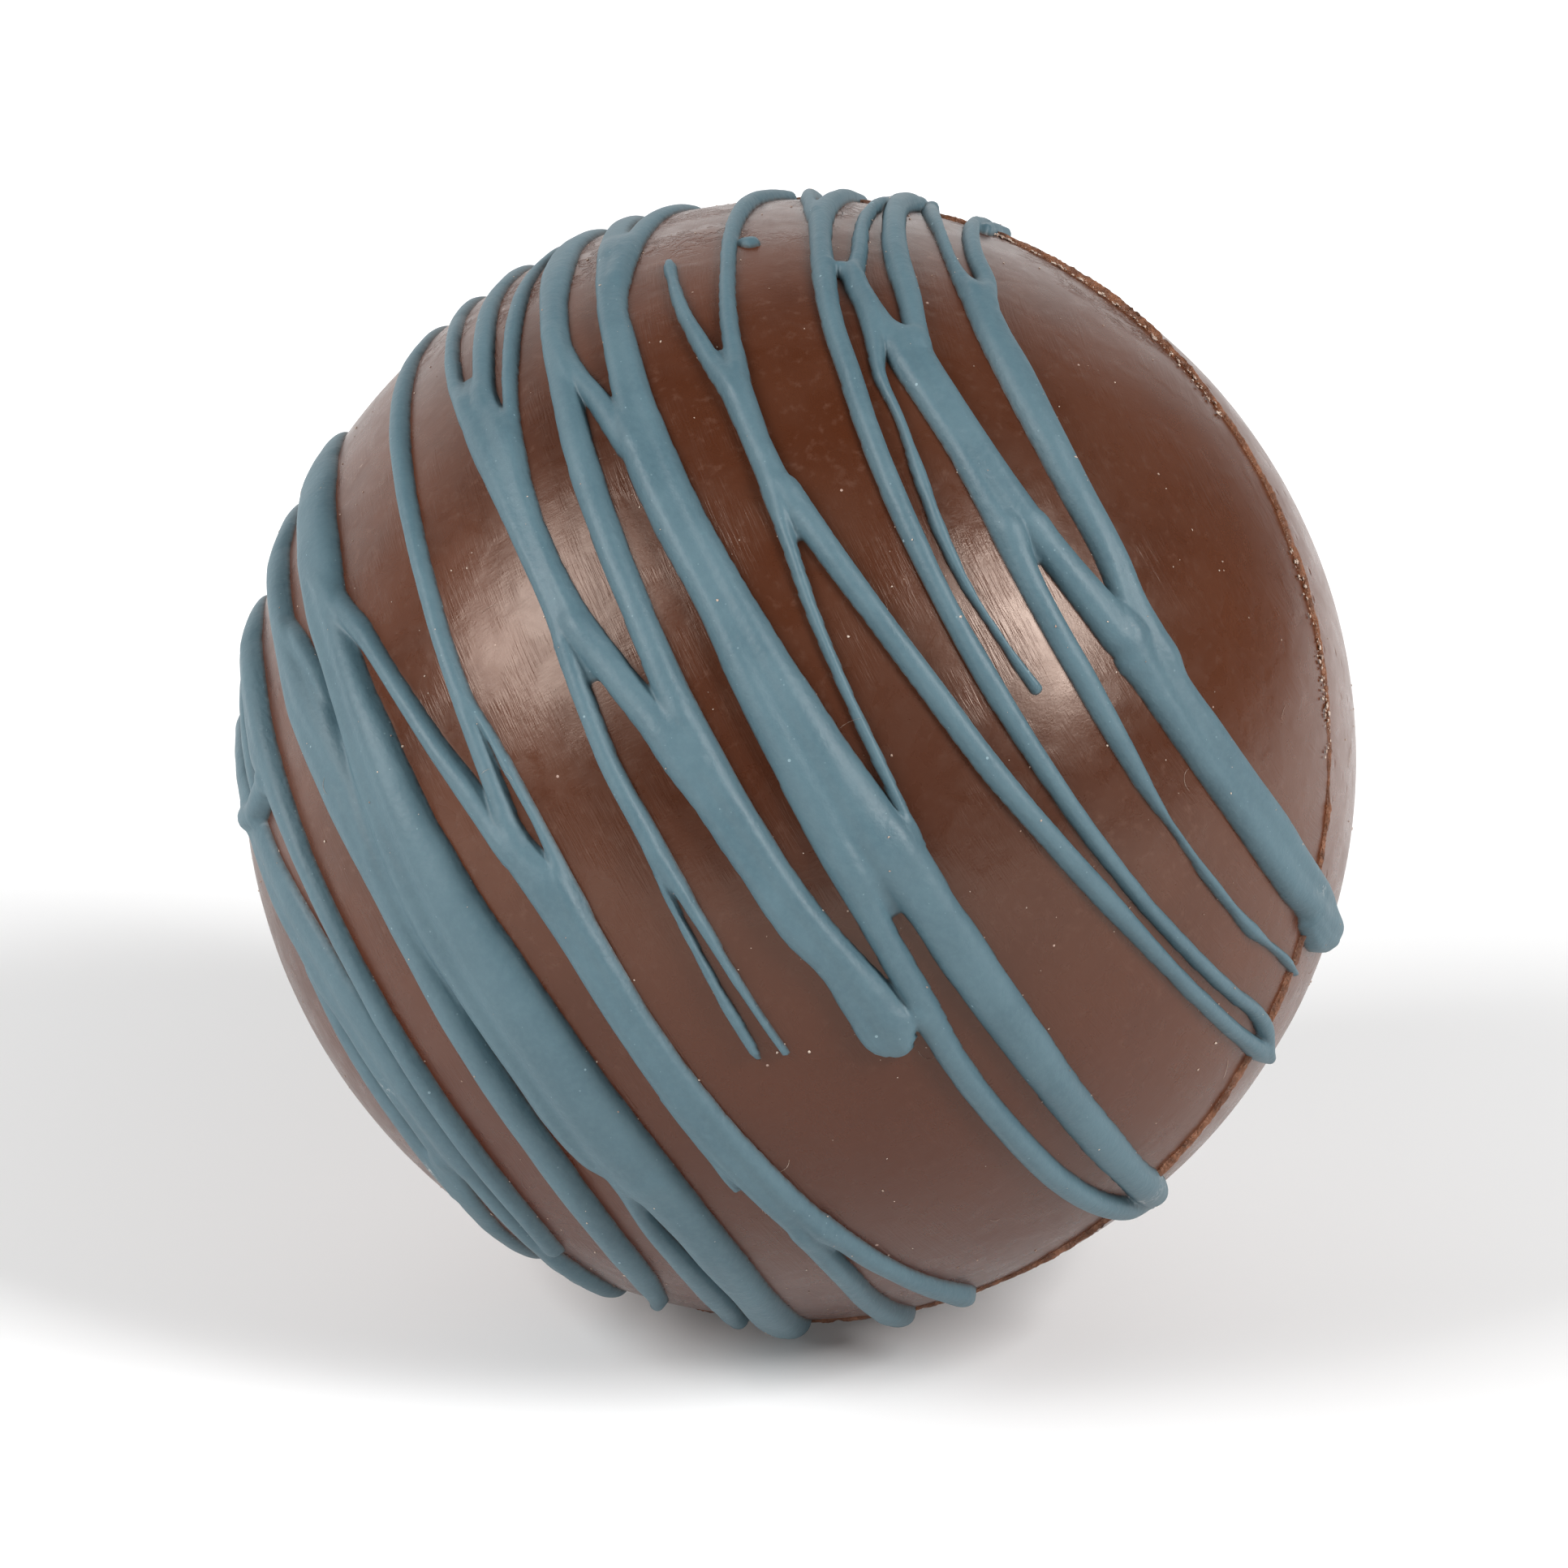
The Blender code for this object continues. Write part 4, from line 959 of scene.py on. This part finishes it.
def make_fibres(material, grid):
    """Short pale fibres that lie on the chocolate beside the drizzle."""
    draw = np.random.default_rng(23)
    wrap, lane = scattered_places(draw, FIBRE_COUNT, grid)
    lifted = (CENTRE + stroke_directions(wrap, lane) * RIM_RADIUS)[:, 2] > FIBRE_CLEAR
    tube = closed_grid_faces(FIBRE_STATIONS, FIBRE_CORNERS)
    vertices = []
    faces = []
    for first_wrap, first_lane in zip(wrap[lifted], lane[lifted]):
        length = draw.uniform(*FIBRE_LENGTH)
        heading = draw.uniform(0.0, math.tau)
        bend = draw.uniform(-1.6, 1.6)
        start = len(vertices)
        for share in np.linspace(0.0, 1.0, FIBRE_STATIONS):
            angle = heading + bend * share
            run = math.degrees(length * share / RIM_RADIUS)
            ahead = run * math.cos(angle) / math.cos(math.radians(first_lane))
            spot_wrap = np.array([first_wrap + ahead])
            spot_lane = np.array([first_lane + run * math.sin(angle)])
            normals = stroke_directions(spot_wrap, spot_lane)
            normal = normals[0]
            radius = FIBRE_RADIUS * (1.0 - 0.6 * abs(2.0 * share - 1.0) ** 3)
            side = tangents(normal)[0]
            arch = FIBRE_RADIUS * (1.0 + 2.0 * math.sin(math.pi * share))
            spot = CENTRE + normal * (top_radius(normals, grid, spot_wrap, spot_lane)[0] + arch)
            for corner in range(FIBRE_CORNERS):
                turn = math.tau * corner / FIBRE_CORNERS
                vertices.append(spot + radius * (side * math.cos(turn) + normal * math.sin(turn)))
        faces += (start + tube).tolist()
        faces.append(list(range(start + FIBRE_CORNERS - 1, start - 1, -1)))
        faces.append(list(range(len(vertices) - FIBRE_CORNERS, len(vertices))))
    return make_mesh_object("fibres", np.array(vertices), faces, material)


class Nodes:
    """Adds nodes to one node tree and joins them."""

    def __init__(self, tree):
        self.tree = tree

    def add(self, kind, inputs=None, **settings):
        """New node with its settings and inputs, where an input may be another node's output."""
        node = self.tree.nodes.new(kind)
        for key, value in settings.items():
            setattr(node, key, value)
        for key, value in (inputs or {}).items():
            self.join(value, node.inputs[key])
        return node

    def join(self, value, socket):
        """Link an output to a socket, or set the socket's value."""
        if isinstance(value, bpy.types.NodeSocket):
            self.tree.links.new(value, socket)
        elif socket.type == "RGBA":
            socket.default_value = (*value, 1.0)
        else:
            socket.default_value = value

    def math(self, operation, first, second=0.0, third=0.0):
        """Result of one calculation."""
        inputs = {0: first, 1: second, 2: third}
        return self.add("ShaderNodeMath", inputs, operation=operation).outputs[0]

    def product(self, first, *others):
        """Product of some values."""
        for other in others:
            first = self.math("MULTIPLY", first, other)
        return first

    def vector(self, operation, first, second=(0.0, 0.0, 0.0), result="Vector"):
        """Result of one calculation with vectors."""
        inputs = {0: first, 1: tuple(second)}
        return self.add("ShaderNodeVectorMath", inputs, operation=operation).outputs[result]

    def ramp(self, value, low, high, least=0.0, most=1.0, kind="SMOOTHSTEP"):
        """Value brought from low..high to least..most."""
        limits = {"From Min": low, "From Max": high, "To Min": least, "To Max": most}
        node = self.add("ShaderNodeMapRange", {"Value": value, **limits}, interpolation_type=kind)
        return node.outputs["Result"]

    def fall(self, value, low, high):
        """1 under the low value and 0 over the high one."""
        return self.math("SUBTRACT", 1.0, self.ramp(value, low, high))


class Shader(Nodes):
    """Nodes of one material, with what its surfaces have in common."""

    def __init__(self, name):
        self.material = bpy.data.materials.new(name)
        self.material.use_nodes = True
        super().__init__(self.material.node_tree)
        self.surface = self.tree.nodes["Principled BSDF"].inputs

    def dress(self, **sockets):
        """Material with some sockets of its surface joined, where _ stands for a space."""
        for name, value in sockets.items():
            self.join(value, self.surface[name.replace("_", " ")])
        return self.material

    def mix(self, factor, first, second):
        """Mix of two colours."""
        inputs = {0: factor, 6: first, 7: second}
        return self.add("ShaderNodeMix", inputs, data_type="RGBA").outputs[2]

    def tint(self, colour, share, strength, tone):
        """Colour brought towards a tone by a share of it, at some strength."""
        return self.mix(self.product(share, strength), colour, tone)

    def noise(self, place, scale, detail=2.0, roughness=0.5, distortion=0.0):
        """Noise value around 0.5."""
        inputs = {"Vector": place, "Scale": scale, "Detail": detail, "Roughness": roughness}
        inputs["Distortion"] = distortion
        return self.add("ShaderNodeTexNoise", inputs).outputs["Fac"]

    def cells(self, place, scale):
        """Distance to the nearest of scattered points, and a random colour for each."""
        node = self.add("ShaderNodeTexVoronoi", {"Vector": place, "Scale": scale})
        return node.outputs["Distance"], node.outputs["Color"]

    def specks(self, colour, place, scale, rarity, size, strength, tone):
        """Colour with scattered specks of a tone, rare ones large and most left out."""
        dots, lot = self.cells(place, scale)
        chance = self.add("ShaderNodeSeparateColor", {"Color": lot}).outputs[0]
        radius = self.product(self.ramp(chance, rarity, 1.0), size)
        return self.tint(colour, self.math("LESS_THAN", dots, radius), strength, tone)

    def streaks(self, place, across, onward, detail, distortion):
        """Noise drawn out across or along the strokes."""
        drawn = self.vector("MULTIPLY", place, (across, onward, onward))
        return self.noise(drawn, 1.0, detail, 0.6, distortion)

    def stroke_place(self):
        """Place in millimetres from the ball's centre: by stroke directions, and unturned."""
        spot = self.add("ShaderNodeTexCoord").outputs["Object"]
        offset = self.vector("SUBTRACT", spot, CENTRE)
        inputs = {0: offset, "Scale": 1000.0}
        unturned = self.add("ShaderNodeVectorMath", inputs, operation="SCALE").outputs[0]
        parts = [self.along(unturned, part) for part in (STROKE_AXIS, STROKE_FRONT, STROKE_ONWARD)]
        return self.add("ShaderNodeCombineXYZ", dict(enumerate(parts))).outputs[0], unturned

    def along(self, unturned, direction):
        """Distance from the ball's centre along a direction, in millimetres."""
        return self.vector("DOT_PRODUCT", unturned, direction, "Value")

    def scuffs(self, place, spots, noise, low):
        """Share of scuffed surface inside some round spots, broken up by noise."""
        share = 0.0
        for wrap, lane, radius in spots:
            outward = stroke_directions(np.array([wrap]), np.array([lane]))
            middle = outward[0] * bare_radius(outward)[0] * 1000.0
            spot = [middle @ part for part in (STROKE_AXIS, STROKE_FRONT, STROKE_ONWARD)]
            gap = self.vector("DISTANCE", place, spot, "Value")
            near = self.fall(gap, 0.45 * radius, radius + 0.5)
            share = self.math("MAXIMUM", share, near)
        return self.product(share, self.ramp(noise, low, low + 0.06))

    def relief(self, *layers):
        """Normal from layers of height, distance and strength, each on the one before."""
        normal = None
        for height, distance, strength in layers:
            inputs = {"Height": height, "Distance": distance, "Strength": strength}
            if normal is not None:
                inputs["Normal"] = normal
            normal = self.add("ShaderNodeBump", inputs).outputs["Normal"]
        return normal


def chocolate_colour(shader, place, unturned, rim, far_half):
    """Milk chocolate with painted grey reflection and painted shade where it faces the view, painted
    shade that is darker and redder low in the view, a warmer rim, specks and scuffs.
    """
    tones = CHOCOLATE_TONES
    broad = shader.noise(place, 0.13, 3.0, 0.55)
    colour = shader.mix(shader.ramp(broad, 0.35, 0.68), tones["dark"], tones["light"])
    fine = shader.ramp(shader.noise(place, 1.6, 4.0, 0.6), 0.52, 0.80)
    painted_grey_reflection = shader.ramp(shader.along(unturned, PAINTED_REFLECTION_DIRECTION), 19.0, 32.0)
    rightward = shader.ramp(shader.along(unturned, (1.0, 0.0, 0.0)), 8.0, 24.0)
    layers = (
        (fine, 1.0, "dusty"),
        (shader.ramp(shader.noise(place, 7.0, 2.0, 0.6), 0.60, 0.85), 0.35, "grain"),
        # Painted reflection: a greyer, darker tint where the ball faces the view, broken up by noise
        (shader.product(painted_grey_reflection, shader.ramp(broad, 0.25, 0.75)), 0.62, "painted_grey_reflection"),
        # Painted shade: darker chocolate where the ball faces the view, a little below its middle
        (shader.ramp(shader.along(unturned, SHADE_DIRECTION), 26.0, 32.0), 0.50, "shade"),
        # Painted shade: darker, redder chocolate towards the bottom of the view
        (shader.ramp(shader.along(unturned, PAINTED_LOW_SHADE_DIRECTION), 2.0, 24.0), 0.80, "low"),
        (shader.product(shader.fall(rim, 3.0, 15.0), rightward), 0.75, "warm"),
    )
    for share, strength, tone in layers:
        colour = shader.tint(colour, share, strength, tones[tone])
    colour = shader.specks(colour, place, 0.55, 0.62, 0.055, 0.7, tones["speck"])
    scrape = shader.streaks(place, 2.2, 5.0, 3.0, 0.5)
    scuffed = shader.scuffs(place, CHOCOLATE_SCUFFS, scrape, 0.60)
    colour = shader.tint(colour, scuffed, 0.75, tones["scuff"])
    return shader.tint(colour, far_half, 0.45, tones["far"])


def chocolate_relief(shader, place, unturned, far_half):
    """Hairlines, cross marks, wrinkles at the stroke starts, pits on the far half, and grain."""
    hair = shader.streaks(place, 7.0, 0.45, 2.0, 0.8)
    cross = shader.streaks(place, 0.9, 5.5, 2.0, 0.8)
    patch = shader.ramp(shader.noise(place, 0.28), 0.44, 0.60)
    offset = shader.math("SUBTRACT", shader.noise(place, 0.75, 4.0, 0.62, 0.9), 0.5)
    parts = shader.add("ShaderNodeSeparateXYZ", {0: place}).outputs
    wrap = shader.math("ARCTAN2", parts["Z"], parts["Y"])
    starts = shader.product(
        shader.fall(wrap, *WRINKLE_WRAPS),
        shader.ramp(shader.along(unturned, (0.0, 0.0, 1.0)), 21.0, 26.0),
        shader.ramp(shader.noise(place, 0.13, 3.0, 0.55), 0.42, 0.58),
        shader.math("SUBTRACT", 1.0, far_half),
    )
    ridges = shader.ramp(shader.math("ABSOLUTE", offset), 0.0, 0.07)
    pits = shader.math("SUBTRACT", shader.ramp(shader.cells(place, 0.55)[0], 0.02, 0.20), 1.0)
    return shader.relief(
        (shader.product(hair, patch), 0.00014, 0.20),
        (cross, 0.00008, 0.07),
        (shader.product(ridges, starts), 0.00015, 0.60),
        (shader.product(pits, far_half), 0.00008, 0.6),
        (shader.noise(place, 7.0, 2.0, 0.6), 0.00003, 0.12),
    )


def chocolate_material():
    """Satin milk chocolate with painted grey reflection and painted shade, smudges, hairline
    scratches and wrinkles by the weld.
    """
    shader = Shader("milk_chocolate_surface")
    place, unturned = shader.stroke_place()
    rim = shader.along(unturned, DOME_AXIS)
    far_half = shader.ramp(shader.product(rim, -1.0), 0.0, 0.6)
    smudge = shader.noise(place, 0.55, 3.0, 0.6, 0.6)
    return shader.dress(
        Base_Color=chocolate_colour(shader, place, unturned, rim, far_half),
        Roughness=shader.ramp(smudge, 0.3, 0.7, 0.24, 0.34, "LINEAR"),
        Specular_IOR_Level=0.5,
        Specular_Tint=(1.0, 0.82, 0.71),
        Normal=chocolate_relief(shader, place, unturned, far_half),
    )


def weld_material():
    """Orange-brown chocolate of the weld, with pale flaky patches."""
    shader = Shader("weld_surface")
    place, unturned = shader.stroke_place()
    patch = shader.ramp(shader.noise(place, 0.9, 4.0, 0.6, 0.4), 0.38, 0.62)
    flake = shader.noise(place, 3.2, 4.0, 0.65, 0.8)
    decorated = shader.ramp(shader.along(unturned, DOME_AXIS), -0.1, 0.5)
    pale = shader.product(shader.ramp(flake, 0.58, 0.70), decorated)
    colour = shader.mix(patch, WELD_TONES["dark"], WELD_TONES["light"])
    return shader.dress(
        Base_Color=shader.mix(pale, colour, WELD_TONES["flake"]),
        Roughness=0.45,
        Normal=shader.relief((flake, 0.00030, 0.9)),
    )


def drizzle_material():
    """Smooth blue-grey drizzle, with painted shade on its low flanks and a thin dark line where it
    meets the chocolate, partly its own thin brownish edge and partly painted contact shade.
    """
    shader = Shader("drizzle_surface")
    tones = DRIZZLE_TONES
    place, _ = shader.stroke_place()
    broad = shader.noise(place, 0.22, 3.0, 0.5)
    grain = shader.noise(place, 4.5, 3.0, 0.6)
    height = shader.add("ShaderNodeAttribute", attribute_name="height").outputs["Fac"]
    chips = shader.noise(place, 3.2, 3.0, 0.6, 0.6)
    layers = (
        (shader.ramp(grain, 0.55, 0.8), 0.25, "grain"),
        # Painted shade: darker colour on the low flanks of the strands
        (shader.fall(height, 0.08, 0.42), 0.45, "painted_flank_shade"),
        # Partly the thin brownish edge of the drizzle, partly painted contact shade
        (shader.fall(height, 0.02, 0.20), 0.85, "edge"),
        (shader.scuffs(place, DRIZZLE_SCUFFS, chips, 0.54), 0.80, "chip"),
        (shader.ramp(shader.noise(place, 2.4, 3.0, 0.65), 0.38, 0.68), 0.26, "mottle"),
    )
    colour = shader.mix(shader.ramp(broad, 0.35, 0.65), tones["dark"], tones["light"])
    for share, strength, tone in layers:
        colour = shader.tint(colour, share, strength, tones[tone])
    colour = shader.specks(colour, place, 0.8, 0.60, 0.07, 0.55, tones["speck"])
    colour = shader.specks(colour, place, 2.3, 0.55, 0.13, 0.32, tones["fine"])
    lumps = shader.noise(place, 1.4, 3.0, 0.55)
    return shader.dress(
        Base_Color=colour,
        Roughness=shader.ramp(broad, 0.3, 0.7, 0.49, 0.59, "LINEAR"),
        Normal=shader.relief((lumps, 0.00012, 0.45), (grain, 0.00003, 0.5)),
    )


def crumb_material():
    """Pale beige crumbs and fibres."""
    shader = Shader("crumb_surface")
    place, _ = shader.stroke_place()
    tone = shader.ramp(shader.noise(place, 2.6, 3.0, 0.6), 0.38, 0.62)
    return shader.dress(
        Base_Color=shader.mix(tone, *CRUMB_TONES),
        Roughness=0.6,
        Normal=shader.relief((shader.noise(place, 14.0), 0.00002, 0.5)),
    )


def make_floor():
    """Plain pale floor whose glow, weak near the ball and stronger further off, is painted light
    that turns it white away from the ball.
    """
    shader = Shader("floor_paper")
    spot = shader.add("ShaderNodeTexCoord").outputs["Object"]
    reach = shader.vector("LENGTH", spot, result="Value")
    paper = shader.dress(
        Base_Color=shader.mix(shader.noise(spot, 3.0), *FLOOR_TONES),
        Roughness=0.9,
        Emission_Color=WHITE,
        # Painted light: the floor glows, weakly near the ball and more further off
        Emission_Strength=shader.ramp(reach, *FLOOR_GLOW_REACH, *FLOOR_GLOW),
    )
    corners = FLOOR_HALF * np.array(((-1, -1, 0), (1, -1, 0), (1, 1, 0), (-1, 1, 0)))
    make_mesh_object("floor", corners, [(0, 1, 2, 3)], paper)


def add_aimed(name, data, spot, back):
    """Object for a camera or a light at a spot, which looks away from the back direction."""
    item = bpy.data.objects.new(name, data)
    bpy.context.scene.collection.objects.link(item)
    item.location = spot
    item.rotation_mode = "QUATERNION"
    item.rotation_quaternion = back.to_track_quat("Z", "Y")
    return item


def make_softboxes():
    """Soft area lights aimed at the ball."""
    for name, (azimuth, elevation, width, height, power) in SOFTBOXES.items():
        data = bpy.data.lights.new(name, "AREA")
        data.shape = "RECTANGLE"
        data.size = width
        data.size_y = height
        data.energy = power
        turn = math.radians(azimuth)
        lift = math.radians(elevation)
        level = math.cos(lift)
        back = Vector((math.sin(turn) * level, -math.cos(turn) * level, math.sin(lift)))
        add_aimed(name, data, ball_centre() + back * SOFTBOX_DISTANCE, back)


def make_surround():
    """White backdrop behind the ball, dim overhead, at the right and on the camera's side."""
    world = bpy.data.worlds.new("surround")
    world.use_nodes = True
    nodes = Nodes(world.node_tree)
    spot = nodes.add("ShaderNodeTexCoord").outputs["Generated"]
    parts = nodes.add("ShaderNodeSeparateXYZ", {0: spot}).outputs
    shares = [nodes.ramp(parts[axis], *limits) for axis, *limits in SURROUND_RAMPS]
    lit = nodes.math("MULTIPLY_ADD", nodes.product(*shares), SURROUND_BRIGHT, SURROUND_DARK)
    background = nodes.tree.nodes["Background"].inputs
    nodes.join(WHITE, background["Color"])
    nodes.join(lit, background["Strength"])
    bpy.context.scene.world = world


def make_camera():
    """Camera at the shown viewing angle, with the ball a little off the middle."""
    right, up, viewer = view_directions()
    data = bpy.data.cameras.new("camera")
    data.lens = CAMERA_LENS
    data.sensor_width = 36.0
    data.clip_start = 0.01
    data.clip_end = 20.0
    spot = ball_centre() + viewer * CAMERA_DISTANCE
    aim = ball_centre() + right * AIM_RIGHT + up * AIM_UP
    bpy.context.scene.camera = add_aimed("camera", data, spot, (spot - aim).normalized())


def main():
    """Build and place everything."""
    ball = make_ball(chocolate_material())
    weld = make_weld(weld_material())
    wraps = np.arange(WRAP_RANGE[0], WRAP_RANGE[1], WRAP_STEP)
    lanes = np.arange(LANE_RANGE[0], LANE_RANGE[1], LANE_STEP)
    field = np.maximum(drizzle_field(wraps, lanes), -DRIZZLE_SUNK)
    drizzle = make_drizzle(drizzle_material(), wraps, lanes, field)
    crumb_surface = crumb_material()
    crumbs = make_crumbs(crumb_surface, (wraps, lanes, field))
    fibres = make_fibres(crumb_surface, (wraps, lanes, field))
    for item in (ball, weld, drizzle, crumbs, fibres):
        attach(item, "root")
    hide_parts("chocolate_sphere")
    make_floor()
    make_softboxes()
    make_surround()
    make_camera()
    bpy.context.scene.view_settings.view_transform = "Standard"


main()
